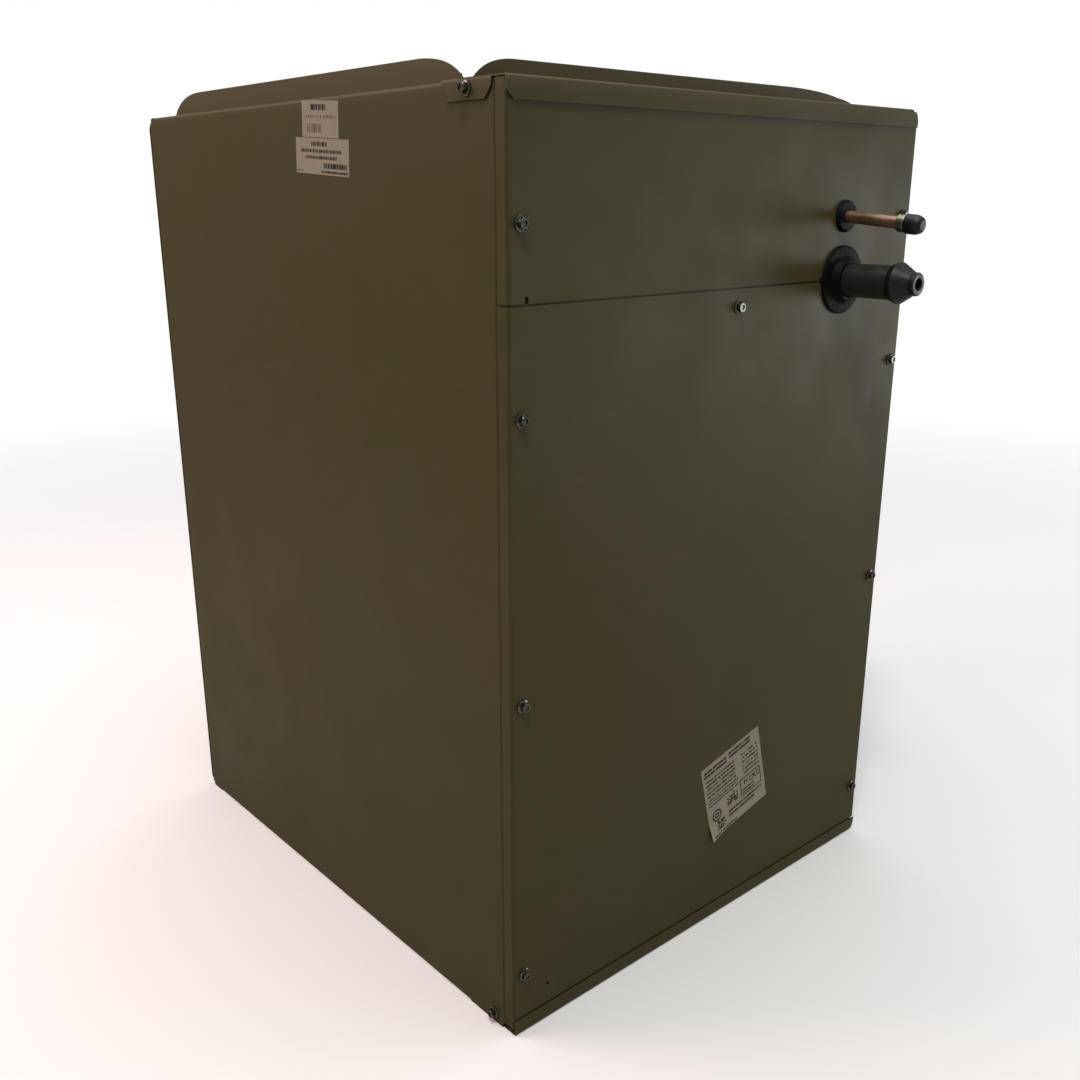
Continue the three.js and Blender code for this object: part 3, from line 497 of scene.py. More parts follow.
class Nodes:
    """Adds nodes to a tree, each fed with values or with other nodes' outputs."""

    def __init__(self, tree):
        self.tree = tree

    def add(self, kind, inputs=(), **settings):
        node = self.tree.nodes.new(kind)
        for key, value in settings.items():
            setattr(node, key, value)
        for key, value in dict(inputs).items():
            self.feed(node.inputs[key], value)
        return node

    def feed(self, socket, value):
        if isinstance(value, bpy.types.NodeSocket):
            self.tree.links.new(value, socket)
        elif socket.type == "RGBA":
            socket.default_value = (*value, 1.0)
        else:
            socket.default_value = value

    def math(self, operation, *values):
        return self.add("ShaderNodeMath", enumerate(values), operation=operation).outputs["Value"]

    def between(self, value, low, high, to_low=0.0, to_high=1.0):
        inputs = {"Value": value, "From Min": low, "From Max": high, "To Min": to_low, "To Max": to_high}
        return self.add("ShaderNodeMapRange", inputs).outputs["Result"]


class Shader(Nodes):
    """A procedural material: one Principled shader whose nodes read the object's own coordinates."""

    def __init__(self, name, roughness=0.5, metallic=0.0, specular=0.5):
        self.material = bpy.data.materials.new(name)
        self.material.use_nodes = True
        super().__init__(self.material.node_tree)
        self.surface = self.tree.nodes["Principled BSDF"].inputs
        self.surface["Roughness"].default_value = roughness
        self.surface["Metallic"].default_value = metallic
        self.surface["Specular IOR Level"].default_value = specular
        self.place = self.add("ShaderNodeTexCoord").outputs["Object"]

    def stretched(self, scale):
        return self.add("ShaderNodeMapping", {"Vector": self.place, "Scale": scale}).outputs["Vector"]

    def noise(self, scale, detail=3.0, roughness=0.5, place=None, distortion=0.0):
        inputs = {"Scale": scale, "Detail": detail, "Roughness": roughness, "Distortion": distortion}
        return self.add("ShaderNodeTexNoise", {"Vector": place or self.place, **inputs}).outputs["Fac"]

    def cells(self, scale, output, feature="F1"):
        inputs = {"Vector": self.place, "Scale": scale}
        return self.add("ShaderNodeTexVoronoi", inputs, feature=feature).outputs[output]

    def mix(self, factor, one, two):
        node = self.add("ShaderNodeMix", data_type="RGBA")
        for name, value in (("Factor", factor), ("A", one), ("B", two)):
            self.feed([s for s in node.inputs if s.name == name and s.enabled][0], value)
        return [s for s in node.outputs if s.enabled][0]

    def drift(self, low, high, scale, detail=3.0):
        """A value that wanders between two levels."""
        return self.between(self.noise(scale, detail), 0.3, 0.7, low, high)

    def bump(self, height, distance, strength, under=None):
        inputs = {"Height": height, "Distance": distance, "Strength": strength}
        if under:
            inputs["Normal"] = under
        return self.add("ShaderNodeBump", inputs).outputs["Normal"]

    def grain(self, scale, detail, depth, strength):
        """The surface's own fine unevenness."""
        return self.bump(self.noise(scale, detail), depth, strength)

    def finish(self, colour, roughness=None, normal=None):
        for name, value in (("Base Color", colour), ("Roughness", roughness), ("Normal", normal)):
            if value is not None:
                self.feed(self.surface[name], value)
        return self.material


def taupe_paint():
    paint = Shader("taupe_paint", specular=0.14)
    brown, olive = (0.0665, 0.0570, 0.0225), (0.0640, 0.0580, 0.0230)
    drift = paint.between(paint.noise(3.2, 2.0), 0.38, 0.62)
    colour = paint.mix(drift, brown, olive)
    colour = paint.mix(paint.drift(0.0, 0.16, 46.0, 4.0), colour, (0.088, 0.077, 0.040))
    marks = paint.noise(9.0, 6.0, 0.62, paint.stretched((1.0, 1.0, 5.0)), 0.6)
    colour = paint.mix(paint.between(marks, 0.64, 0.78, 0.0, 0.18), colour, (0.13, 0.11, 0.08))
    height = paint.add("ShaderNodeSeparateXYZ", {"Vector": paint.place}).outputs["Z"]
    # Painted shade: the paint grows darker towards the foot of the cabinet, with a little noise in where
    # the darkening starts.
    painted_low_shade = paint.math("MULTIPLY_ADD", paint.noise(5.0, 4.0), 0.12, height)
    colour = paint.mix(paint.between(painted_low_shade, 0.04, 0.46, 0.34, 0.0), colour, (0.030, 0.025, 0.008))
    # Painted highlight: everything above the top shelf, mostly the duct tabs, is mixed towards a lighter
    # tan to stand in for light falling on the top of the cabinet.
    colour = paint.mix(paint.between(height, 0.668, 0.676, 0.0, 0.45), colour, (0.125, 0.106, 0.066))
    wavy = paint.bump(paint.noise(4.5, 1.0), 0.0016, 0.35, paint.grain(520.0, 2.0, 0.00012, 0.25))
    return paint.finish(colour, paint.drift(0.40, 0.54, 14.0, 5.0), wavy)


# Painted shadow: a near-black material for sheet edges, standing in for the shade in the gaps between the
# sheets.
def painted_shadow_edge():
    edge = Shader("painted_shadow_edge", roughness=0.7, specular=0.1)
    return edge.finish(edge.mix(edge.noise(300.0), (0.010, 0.008, 0.003), (0.022, 0.017, 0.008)))


def zinc_plate():
    zinc = Shader("zinc_plate", metallic=1.0)
    grain = zinc.between(zinc.noise(700.0, 3.0), 0.35, 0.65)
    colour = zinc.mix(grain, (0.055, 0.062, 0.052), (0.17, 0.18, 0.155))
    return zinc.finish(colour, zinc.drift(0.18, 0.36, 900.0, 2.0), zinc.grain(1500.0, 3.0, 0.00005, 0.4))


def galvanised_steel():
    steel = Shader("galvanised_steel", metallic=1.0)
    spangle = steel.cells(95.0, "Color")
    shade = steel.add("ShaderNodeSeparateColor", {"Color": spangle}).outputs["Red"]
    colour = steel.mix(shade, (0.40, 0.42, 0.44), (0.60, 0.62, 0.64))
    dull = steel.between(steel.noise(12.0, 5.0), 0.55, 0.8, 0.0, 0.4)
    colour = steel.mix(dull, colour, (0.33, 0.33, 0.33))
    roughness = steel.between(shade, 0, 1, 0.28, 0.5)
    return steel.finish(colour, roughness, steel.grain(240.0, 3.0, 0.0001, 0.25))


def fin_aluminium():
    fins = Shader("fin_aluminium", metallic=1.0)
    bands = fins.noise(24.0, 3.0, 0.6, fins.stretched((0.3, 12.0, 0.5)))
    colour = fins.mix(fins.between(bands, 0.35, 0.65), (0.62, 0.64, 0.66), (0.82, 0.83, 0.84))
    return fins.finish(colour, fins.drift(0.26, 0.42, 60.0))


def foil_facing():
    foil = Shader("foil_facing", metallic=0.95)
    creases = foil.cells(34.0, "Distance", "DISTANCE_TO_EDGE")
    crinkle = foil.bump(foil.between(creases, 0.0, 0.25), 0.0012, 0.35)
    weave = []
    for tilt in (1, -1):
        lay = (tilt * 0.9, tilt * 0.9, 0)
        turn = foil.add("ShaderNodeMapping", {"Vector": foil.place, "Rotation": lay})
        inputs = {"Vector": turn.outputs["Vector"], "Scale": 22.0}
        wave = foil.add("ShaderNodeTexWave", inputs, bands_direction="Z")
        weave.append(foil.between(wave.outputs["Fac"], 0.93, 1.0))
    scrim = foil.math("MAXIMUM", *weave)
    normal = foil.bump(scrim, 0.0004, 0.6, crinkle)
    colour = foil.mix(foil.noise(30.0), (0.60, 0.61, 0.62), (0.78, 0.79, 0.80))
    return foil.finish(colour, foil.drift(0.22, 0.42, 80.0), normal)


def glass_wool():
    wool = Shader("glass_wool", roughness=0.95, specular=0.1)
    strands = wool.noise(420.0, 6.0, 0.7, wool.stretched((1.0, 0.25, 1.0)))
    colour = wool.mix(wool.between(strands, 0.35, 0.65), (0.42, 0.33, 0.12), (0.72, 0.62, 0.34))
    return wool.finish(colour, None, wool.bump(strands, 0.0012, 0.8))


def copper():
    metal = Shader("copper", metallic=1.0)
    tarnish = metal.between(metal.noise(22.0, 5.0, 0.6), 0.35, 0.7)
    colour = metal.mix(tarnish, (0.50, 0.32, 0.25), (0.35, 0.23, 0.17))
    spots = metal.between(metal.noise(160.0, 4.0), 0.6, 0.75, 0.0, 0.5)
    colour = metal.mix(spots, colour, (0.30, 0.17, 0.08))
    return metal.finish(colour, metal.drift(0.34, 0.52, 90.0), metal.grain(600.0, 3.0, 0.00005, 0.3))


def brass():
    metal = Shader("brass", metallic=1.0)
    tarnish = metal.between(metal.noise(150.0, 5.0), 0.35, 0.7)
    colour = metal.mix(tarnish, (0.36, 0.33, 0.22), (0.22, 0.21, 0.15))
    return metal.finish(colour, metal.drift(0.25, 0.45, 300.0))


def black_rubber():
    rubber = Shader("black_rubber", specular=0.09)
    dust = rubber.between(rubber.noise(70.0, 5.0), 0.5, 0.8, 0.0, 0.2)
    colour = rubber.mix(dust, (0.0030, 0.0034, 0.0052), (0.014, 0.0135, 0.013))
    roughness = rubber.drift(0.45, 0.68, 240.0, 4.0)
    return rubber.finish(colour, roughness, rubber.grain(1400.0, 3.0, 0.00008, 0.5))


def black_vinyl():
    vinyl = Shader("black_vinyl", specular=0.34)
    colour = vinyl.mix(vinyl.noise(60.0, 4.0), (0.0062, 0.0064, 0.0088), (0.0110, 0.0116, 0.0142))
    return vinyl.finish(colour, vinyl.drift(0.36, 0.52, 160.0), vinyl.grain(500.0, 2.0, 0.0001, 0.3))


def black_plastic():
    plastic = Shader("black_plastic", specular=0.75)
    colour = plastic.mix(plastic.noise(40.0, 4.0), (0.0095, 0.0120, 0.0132), (0.0170, 0.0205, 0.0215))
    roughness = plastic.drift(0.3, 0.46, 120.0)
    return plastic.finish(colour, roughness, plastic.grain(260.0, 2.0, 0.0001, 0.35))


def label_paper(name, ink):
    """Label stock with made-up print; ink gives the mask of printed marks from the label's U and V."""
    paper = Shader(name, specular=0.3)
    uv = paper.add("ShaderNodeTexCoord").outputs["UV"]
    axes = paper.add("ShaderNodeSeparateXYZ", {"Vector": uv})
    marks = ink(paper, axes.outputs["X"], axes.outputs["Y"])
    stock = paper.mix(paper.noise(60.0, 4.0), (0.24, 0.225, 0.165), (0.30, 0.28, 0.21))
    colour = paper.mix(paper.math("MULTIPLY", marks, 0.98), stock, (0.012, 0.011, 0.008))
    return paper.finish(colour, paper.drift(0.5, 0.65, 200.0))


def window(paper, u, v, across, up):
    """1 inside a rectangle of the label, 0 outside."""
    mask = 1.0
    for at, (low, high) in ((u, across), (v, up)):
        mask = paper.math("MULTIPLY", mask, paper.math("GREATER_THAN", at, low))
        mask = paper.math("MULTIPLY", mask, paper.math("LESS_THAN", at, high))
    return mask


def print_lines(paper, u, v, across, up, rows, strokes, weight=0.45, height=0.56):
    """Rows of short marks that stand for lines of small print."""
    row = paper.math("MULTIPLY", paper.math("SUBTRACT", v, up[0]), rows / (up[1] - up[0]))
    number = paper.math("FLOOR", row)
    inside_row = paper.math("LESS_THAN", paper.math("FRACT", row), height)
    place = {"X": paper.math("MULTIPLY", u, strokes), "Y": paper.math("MULTIPLY", number, 7.3)}
    spot = paper.add("ShaderNodeCombineXYZ", place)
    marks = paper.math("GREATER_THAN", paper.noise(1.0, 1.0, 0.5, spot.outputs["Vector"]), weight)
    mask = paper.math("MULTIPLY", marks, inside_row)
    return paper.math("MULTIPLY", mask, window(paper, u, v, across, up))


def bar_marks(paper, u, v, across, up, count):
    """A strip of upright bars of uneven width."""
    spot = paper.add("ShaderNodeCombineXYZ", {"X": paper.math("MULTIPLY", u, count)})
    marks = paper.math("GREATER_THAN", paper.noise(1.0, 0.0, 0.5, spot.outputs["Vector"]), 0.5)
    return paper.math("MULTIPLY", marks, window(paper, u, v, across, up))


def code_block(paper, u, v, across, up, cells):
    """A square of small dark and light cells."""
    column, row = (paper.math("FLOOR", paper.math("MULTIPLY", at, cells)) for at in (u, v))
    spot = paper.add("ShaderNodeCombineXYZ", {"X": column, "Y": row})
    value = paper.add("ShaderNodeTexWhiteNoise", {"Vector": spot.outputs["Vector"]}).outputs["Value"]
    return paper.math("MULTIPLY", paper.math("GREATER_THAN", value, 0.42), window(paper, u, v, across, up))


def ring_mark(paper, u, v, centre, radius, width):
    """A plain printed ring."""
    place = {"X": paper.math("SUBTRACT", u, centre[0]), "Y": paper.math("SUBTRACT", v, centre[1])}
    offset = paper.add("ShaderNodeCombineXYZ", place).outputs["Vector"]
    reach = paper.add("ShaderNodeVectorMath", {0: offset}, operation="LENGTH").outputs["Value"]
    gap = paper.math("ABSOLUTE", paper.math("SUBTRACT", reach, radius))
    return paper.math("LESS_THAN", gap, width / 2)


def frame_line(paper, u, v, across, up, width):
    """The outline of a box."""
    outer = window(paper, u, v, across, up)
    inner = window(paper, u, v, (across[0] + width, across[1] - width), (up[0] + width, up[1] - width))
    return paper.math("SUBTRACT", outer, inner)


def page(paper, u, v, *parts):
    """All the parts of a label's print: each is a kind of mark and its place, in shares of the label."""
    whole = None
    for draw, *where in parts:
        mask = draw(paper, u, v, *where)
        whole = mask if whole is None else paper.math("MAXIMUM", whole, mask)
    return whole


def rating_print(paper, u, v):
    return page(
        paper, u, v,
        (print_lines, (0.03, 0.42), (0.86, 0.96), 2, 46, 0.38, 0.66),
        (print_lines, (0.46, 0.84), (0.88, 0.98), 2, 46, 0.38, 0.66),
        (print_lines, (0.04, 0.54), (0.58, 0.84), 5, 60, 0.42, 0.5),
        (print_lines, (0.66, 0.95), (0.52, 0.84), 6, 60, 0.46, 0.5),
        (print_lines, (0.04, 0.56), (0.45, 0.57), 3, 60, 0.42, 0.5),
        (code_block, (0.34, 0.53), (0.27, 0.42), 44),
        (frame_line, (0.58, 0.95), (0.24, 0.48), 0.016),
        (bar_marks, (0.61, 0.76), (0.38, 0.44), 40),
        (code_block, (0.76, 0.92), (0.36, 0.44), 70),
        (print_lines, (0.61, 0.82), (0.27, 0.35), 2, 60, 0.42),
        (ring_mark, (0.15, 0.28), 0.068, 0.024),
        (ring_mark, (0.15, 0.28), 0.026, 0.022),
        (print_lines, (0.34, 0.80), (0.12, 0.23), 2, 55, 0.4, 0.6),
        (code_block, (0.12, 0.28), (0.06, 0.19), 60),
        (print_lines, (0.62, 0.95), (0.18, 0.22), 1, 60, 0.42),
        (print_lines, (0.05, 0.46), (0.015, 0.05), 1, 55, 0.4),
    )


def stock_print(paper, u, v):
    return page(
        paper, u, v,
        (print_lines, (0.24, 0.66), (0.74, 0.94), 1, 44, 0.44, 0.8),
        (print_lines, (0.05, 0.95), (0.52, 0.66), 1, 44, 0.52, 0.6),
        (bar_marks, (0.13, 0.58), (0.13, 0.37), 90),
    )


def notice_print(paper, u, v):
    return page(
        paper, u, v,
        (print_lines, (0.30, 0.60), (0.78, 0.94), 1, 60, 0.45, 0.75),
        (print_lines, (0.10, 0.86), (0.60, 0.73), 1, 90, 0.45, 0.7),
        (print_lines, (0.18, 0.78), (0.42, 0.55), 1, 90, 0.45, 0.7),
        (print_lines, (0.53, 0.96), (0.18, 0.37), 1, 60, 0.43, 0.75),
        (print_lines, (0.48, 0.98), (0.05, 0.14), 1, 70, 0.42, 0.7),
        (print_lines, (0.02, 0.14), (0.05, 0.14), 1, 60, 0.5),
    )


PAINT = taupe_paint()
EDGE_SHADOW = painted_shadow_edge()
ZINC = zinc_plate()
GALVANISED = galvanised_steel()
FINS = fin_aluminium()
FOIL = foil_facing()
WOOL = glass_wool()
COPPER = copper()
BRASS = brass()
RUBBER = black_rubber()
VINYL = black_vinyl()
PLASTIC = black_plastic()


def show_floor():
    """A pale floor that fades into the background, and that throws less light back than the camera sees."""
    half = FLOOR_HALF
    floor = solid([(-half, -half, 0), (half, -half, 0), (half, half, 0), (-half, half, 0)], [(0, 1, 2, 3)])
    ground = Shader("pale_floor", roughness=0.85, specular=0.2)
    shade = ground.mix(ground.noise(0.7, 2.0), (0.86, 0.88, 0.92), (0.90, 0.92, 0.96))
    seen = ground.add("ShaderNodeLightPath").outputs["Is Camera Ray"]
    shade = ground.mix(seen, (0.52, 0.50, 0.46), shade)
    reach = ground.add("ShaderNodeVectorMath", {0: ground.place}, operation="LENGTH").outputs["Value"]
    ground.feed(ground.surface["Alpha"], ground.between(reach, *FLOOR_FADE, 1.0, 0.0))
    floor.data.materials.append(ground.finish(shade))
    floor.data.transform(Matrix.Scale(MM, 4))
    floor.name = "studio_floor"


camera()
studio()

# ---- Cabinet sheets --------------------------------------------------------

def across_at(side, u):
    return side * (HALF_WIDTH - u)


def side_span(side, u0, u1):
    return sorted((across_at(side, u0), across_at(side, u1)))


def on_side(side, points):
    """Points given by their distance from one side of the cabinet and a second coordinate."""
    return [(across_at(side, u), v) for u, v in points]


def screw_hole(axis, spot, reach):
    return bar(axis, spot, SCREW_HOLE, reach, 24)


def front_hole(x, z):
    return screw_hole("y", (x, z), (-3, 4))


def side_panel(side):
    joggle = [(INNER_MID, FRONT_RETURN + 0.3), (SHEET_MID, FRONT_RETURN + 2.2)]
    back_edge = [(SHEET_MID, CASE_DEPTH - INNER_MID), (REAR_FLANGE, CASE_DEPTH - INNER_MID)]
    wall = on_side(side, [(FRONT_FLANGE, INNER_MID), (INNER_MID, INNER_MID), *joggle, *back_edge])
    neck = on_side(side, [(INNER_MID, 5), *joggle, (SHEET_MID, EAR_FRONT + 4)])
    shelf_z = WALL_TOP - SHEET_MID
    shelf_edge = SIDE_SHELF - UPTURN_BEND
    shelf = on_side(side, [(SHEET_MID, WALL_TOP - 12), (SHEET_MID, shelf_z), (shelf_edge, shelf_z)])
    foot = on_side(side, [(20, SHEET_MID), (SHEET_MID, SHEET_MID), (SHEET_MID, 12)])
    rear, corner_top = CASE_DEPTH - CORNER_ROUND, WALL_TOP - 4
    foot_start, foot_end = BASE_EAR[1] + 2, CASE_DEPTH - 21
    skin = side_span(side, 0, SHEET)
    tab_x = side_span(side, SIDE_SHELF - SHEET_MID, SIDE_SHELF + SHEET_MID)
    panel = join(
        prism("xy", folded_sheet(wall), (4, corner_top)),
        prism("xy", folded_sheet(neck), (corner_top - 1, WALL_TOP - SHEET_MID)),
        prism("xz", folded_sheet(shelf), (EAR_FRONT + 3, rear)),
        SIDE_TAB.fold("xz", across_at(side, SIDE_SHELF), shelf_z, -side),
        prism("xz", folded_sheet(foot), (foot_start, foot_end)),
        box(skin, (rear - 1, CASE_DEPTH - 5), (corner_top - 1, WALL_TOP)),
        box(skin, (foot_end - 1, CASE_DEPTH - 5), (0, 5)),
        box(skin, (EAR_FRONT + 1, foot_start + 1), (0, 5)),
        prism("yz", SIDE_TAB.outline(shelf_z), tab_x),
    )
    through = side_span(side, -2, 4)
    corner = side_span(side, -2, REAR_FLANGE + 2)
    holes = [
        corner_cutter("yz", (CASE_DEPTH, WALL_TOP), (-1, -1), CORNER_ROUND, corner),
        corner_cutter("yz", (CASE_DEPTH, 0), (-1, 1), CORNER_ROUND, corner),
        screw_hole("x", TOP_EAR_SCREW, through),
        screw_hole("x", BASE_EAR_SCREW, through),
    ]
    holes += [front_hole(across_at(side, EDGE_SCREW), z) for z in (UPPER_SCREW_Z, *ACCESS_SCREWS.values())]
    back, back_x = (CASE_DEPTH - 4, CASE_DEPTH), across_at(side, BACK_SCREW_U)
    holes += [screw_hole("y", (back_x, z), back) for z in BACK_SCREWS.values()]
    if side > 0:
        holes += [bar("x", drain, DRAIN_BOSS + 1.2, through, 48) for drain in DRAINS]
    return cut(panel, *holes)


def back_panel():
    rear, tab_y, shelf_z = CASE_DEPTH - SHEET_MID, CASE_DEPTH - SIDE_SHELF, WALL_TOP - SHEET_MID
    shelf_edge = tab_y + UPTURN_BEND
    section = [(CASE_DEPTH - 20, SHEET_MID), (rear, SHEET_MID), (rear, shelf_z), (shelf_edge, shelf_z)]
    inner = HALF_WIDTH - CORNER_ROUND
    sheet = (CASE_DEPTH - SHEET, CASE_DEPTH)
    plate = box((-HALF_WIDTH, HALF_WIDTH), sheet, (0, WALL_TOP))
    past = (CASE_DEPTH - 4, CASE_DEPTH + 1)
    corners = []
    for _, side in SIDES:
        corners.append(corner_cutter("xz", (side * HALF_WIDTH, WALL_TOP), (-side, -1), CORNER_ROUND, past))
        corners.append(corner_cutter("xz", (side * HALF_WIDTH, 0), (-side, 1), CORNER_ROUND, past))
    plate = cut(plate, *corners)
    plate = cut(plate, box((-inner, inner), (CASE_DEPTH - 3, CASE_DEPTH + 1), (-1, WALL_TOP + 1)))
    panel = join(
        plate,
        prism("yz", folded_sheet(section), (-inner, inner)),
        BACK_TAB.fold("yz", tab_y, shelf_z, -1),
        prism("xz", BACK_TAB.outline(shelf_z), (tab_y - SHEET_MID, tab_y + SHEET_MID)),
    )
    back = (CASE_DEPTH - 2, CASE_DEPTH + 2)
    spots = [(across_at(side, BACK_SCREW_U), z) for _, side in SIDES for z in BACK_SCREWS.values()]
    return cut(panel, *[screw_hole("y", spot, back) for spot in spots])


def top_front_rail():
    lip_y, shelf_z = -SKIN + SHEET_MID, CASE_HEIGHT - SHEET_MID
    lip_left, lip_right = TOP_LIP_ENDS
    lip_foot = CASE_HEIGHT - TOP_LIP
    lip_line = [(lip_y, lip_foot), (lip_y, shelf_z)]
    shelf_end = HALF_WIDTH - 12
    front = join(
        prism("yz", folded_sheet([*lip_line, (44, shelf_z)]), (lip_left, lip_right)),
        prism("yz", folded_sheet([*lip_line, (TOP_SHELF - UPTURN_BEND, shelf_z)]), (-shelf_end, shelf_end)),
        FRONT_TAB.fold("yz", TOP_SHELF, shelf_z, 1),
        prism("xz", FRONT_TAB.outline(shelf_z), (TOP_SHELF - SHEET_MID, TOP_SHELF + SHEET_MID)),
    )
    front = cut(
        front,
        chamfer_cutter("xz", (lip_left, lip_foot), (1, 1), TOP_LIP_CHAMFER, (-SKIN - 1, EAR_FRONT)),
        corner_cutter("xz", (lip_right, CASE_HEIGHT), (-1, -1), CORNER_ROUND, (-SKIN - 1, 2)),
    )
    shelf_corner = (CASE_HEIGHT - 2, CASE_HEIGHT + 1)
    front = cut(front, corner_cutter("xy", (lip_right, -SKIN), (-1, 1), CORNER_ROUND, shelf_corner))
    foot = CASE_HEIGHT - EAR_HEIGHT
    slant = (EAR_BACK - EAR_BACK_LOW) / EAR_HEIGHT
    tail = [
        (EAR_BACK + slant, CASE_HEIGHT + 1),
        (EAR_BACK_LOW - slant, foot - 1),
        (EAR_BACK + 5, foot - 1),
        (EAR_BACK + 5, CASE_HEIGHT + 1),
    ]
    for _, side in SIDES:
        line = [(-GAP - SHEET_MID, foot), (-GAP - SHEET_MID, shelf_z), (EAR_SHELF, shelf_z)]
        ear = prism("xz", folded_sheet(on_side(side, line)), (EAR_FRONT, EAR_BACK))
        round_off = chamfer_cutter("yz", (EAR_FRONT, foot), (1, 1), EAR_CHAMFER, side_span(side, -3, -0.1))
        ear = cut(cut(ear, round_off), prism("yz", tail, side_span(side, -3, EAR_SHELF + 1)))
        front = join(front, ear)
    return cut(front, screw_hole("x", TOP_EAR_SCREW, ACROSS_CABINET))


def is_shadow_edge(face):
    """Whether a face of the top rail is a sheet edge of its lip, of an ear or of the neck between, painted
    dark as shadow.
    """
    at, way = cabinet_place(face), face.normal
    if at.z > CASE_HEIGHT - 1.2:
        return abs(way.x) > 0.7 and at.y < EAR_FRONT + 0.5
    on_ear = abs(at.x) > HALF_WIDTH + 0.2 and at.y > EAR_FRONT - 1 and abs(way.x) < 0.3
    return on_ear or (at.y < -0.2 and abs(way.y) < 0.3)


def bottom_front_rail():
    """The lip and shelf below the front panel, with an ear just inside each side panel."""
    lip_y, lip_end = -SKIN + SHEET_MID, HALF_WIDTH - 1
    section = [(lip_y, BASE_LIP), (lip_y, SHEET_MID), (BASE_SHELF, SHEET_MID)]
    rail = prism("yz", folded_sheet(section), (-lip_end, lip_end))
    rail = cut(rail, corner_cutter("xz", (lip_end, 0), (-1, 1), CORNER_ROUND, (-SKIN - 1, 0.5)))
    for _, side in SIDES:
        rail = cut(rail, box(side_span(side, -1, SKIN), (EAR_FRONT, BASE_SHELF + 1), (-1, 2)))
        line = [(INNER_MID, BASE_LIP), (INNER_MID, SHEET_MID), (18, SHEET_MID)]
        ear = prism("xz", folded_sheet(on_side(side, line)), BASE_EAR)
        rail = join(rail, ear)
    return cut(rail, screw_hole("x", BASE_EAR_SCREW, ACROSS_CABINET))


def front_wrap(stations):
    line = [
        (-HALF_WIDTH + SHEET_MID, FRONT_RETURN),
        (-HALF_WIDTH + SHEET_MID, SHEET_MID),
        (HALF_WIDTH - SHEET_MID, SHEET_MID),
        (HALF_WIDTH - SHEET_MID, FRONT_RETURN),
    ]
    return prism("xy", folded_sheet(line, straight=2.0), stations)


LEFT_NICK = (14 - HALF_WIDTH, 16.8 - HALF_WIDTH)
SLIT_NICK = (SUCTION.x - 29.4, SUCTION.x - 26)
NICK_DEPTH, NICK_TOP, NICK_MARGIN = (-1, 0.99), 548, 0.2
SUCTION_NOTCH, LIQUID_HOLE = 19.6, 8.7
TONGUE = (519, 549)
PILOT_HOLE = (-HALF_WIDTH + 34, 30)


def seam_cutters():
    """What both front panels lose at the slit: the suction notch, a screw hole and a small nick."""
    nick = box(SLIT_NICK, NICK_DEPTH, (SLIT - 2, SLIT + 2.4))
    return [bar("y", SUCTION_SPOT, SUCTION_NOTCH, (-3, 6), 64), front_hole(0, CENTRE_SCREW_Z), nick]


def is_nick(face):
    """Whether a face of a front panel lies inside one of the nicks beside the slit; these faces are painted
    dark as shade.
    """
    at = cabinet_place(face)
    if not 0.05 < at.y < SHEET - 0.005 or abs(at.z - SLIT) > 8:
        return False
    return any(low - NICK_MARGIN < at.x < high + NICK_MARGIN for low, high in (LEFT_NICK, SLIT_NICK))


DENTS = ((218, 0.9), (130, 0.7))
DENT_REACH = 11
DENT_HALF = 2.6


def dent(made):
    """Presses the strap dents into the left vertical corner: shallow V creases running up from it."""
    for vertex in made.data.vertices:
        x, y, z = vertex.co
        away = max(x + HALF_WIDTH, y)
        if x > -HALF_WIDTH + DENT_REACH + 2 or y > DENT_REACH:
            continue
        for height, depth in DENTS:
            crease = height + 0.32 * away
            near = max(0.0, 1 - abs(z - crease) / DENT_HALF) * max(0.0, 1 - away / DENT_REACH)
            vertex.co += Vector((1, 1, -0.25)).normalized() * depth * near
    return made


def dent_stations(bottom, top):
    stations = {bottom, top}
    for height, _ in DENTS:
        stations |= {height - 4 + 0.6 * i for i in range(20)}
    return sorted(stations)


def upper_front_panel():
    bottom, top = SLIT + SLIT_WIDTH / 2, WALL_TOP - GAP
    tongue = HALF_WIDTH - FRONT_FLANGE - 1
    panel = join(
        front_wrap((bottom, top)),
        box((-HALF_WIDTH + 4, HALF_WIDTH - 4), (SHEET_MID, 12), (top - SHEET, top)),
        box((-tongue, tongue), (SKIN, SKIN + SHEET), TONGUE),
        box((-tongue, tongue), (SHEET_MID, SKIN + SHEET), (TONGUE[1] - 3.5, TONGUE[1])),
    )
    return cut(
        panel,
        *seam_cutters(),
        bar("y", LIQUID_SPOT, LIQUID_HOLE, (-3, 6), 48),
        box(LEFT_NICK, NICK_DEPTH, (SLIT, NICK_TOP)),
        *[front_hole(across_at(side, EDGE_SCREW), UPPER_SCREW_Z) for _, side in SIDES],
        corner_cutter("xz", (HALF_WIDTH, top), (-1, -1), CORNER_ROUND - 1, (-1, FRONT_RETURN + 4)),
    )


def lower_access_panel():
    bottom, top = BASE_LIP + 0.7, SLIT - SLIT_WIDTH / 2
    panel = dent(front_wrap(dent_stations(bottom, top)))
    panel = join(panel, box((-HALF_WIDTH + 30, HALF_WIDTH - 30), (SHEET_MID, 9), (bottom, bottom + SHEET)))
    edges = [across_at(side, EDGE_SCREW) for _, side in SIDES]
    holes = [front_hole(x, z) for x in edges for z in ACCESS_SCREWS.values()]
    return cut(panel, *seam_cutters(), bar("y", PILOT_HOLE, 1.5, (-2, 3), 20), *holes)


for side_name, side_sign in SIDES:
    show(f"{side_name}_side_panel", side_panel(side_sign), PAINT)
show("back_panel", back_panel(), PAINT)
# The top rail's sheet edges at the lip, the ears and the neck get the dark painted-shadow material.
show_two("top_front_rail", top_front_rail(), PAINT, EDGE_SHADOW, is_shadow_edge)
show("bottom_front_rail", bottom_front_rail(), PAINT)
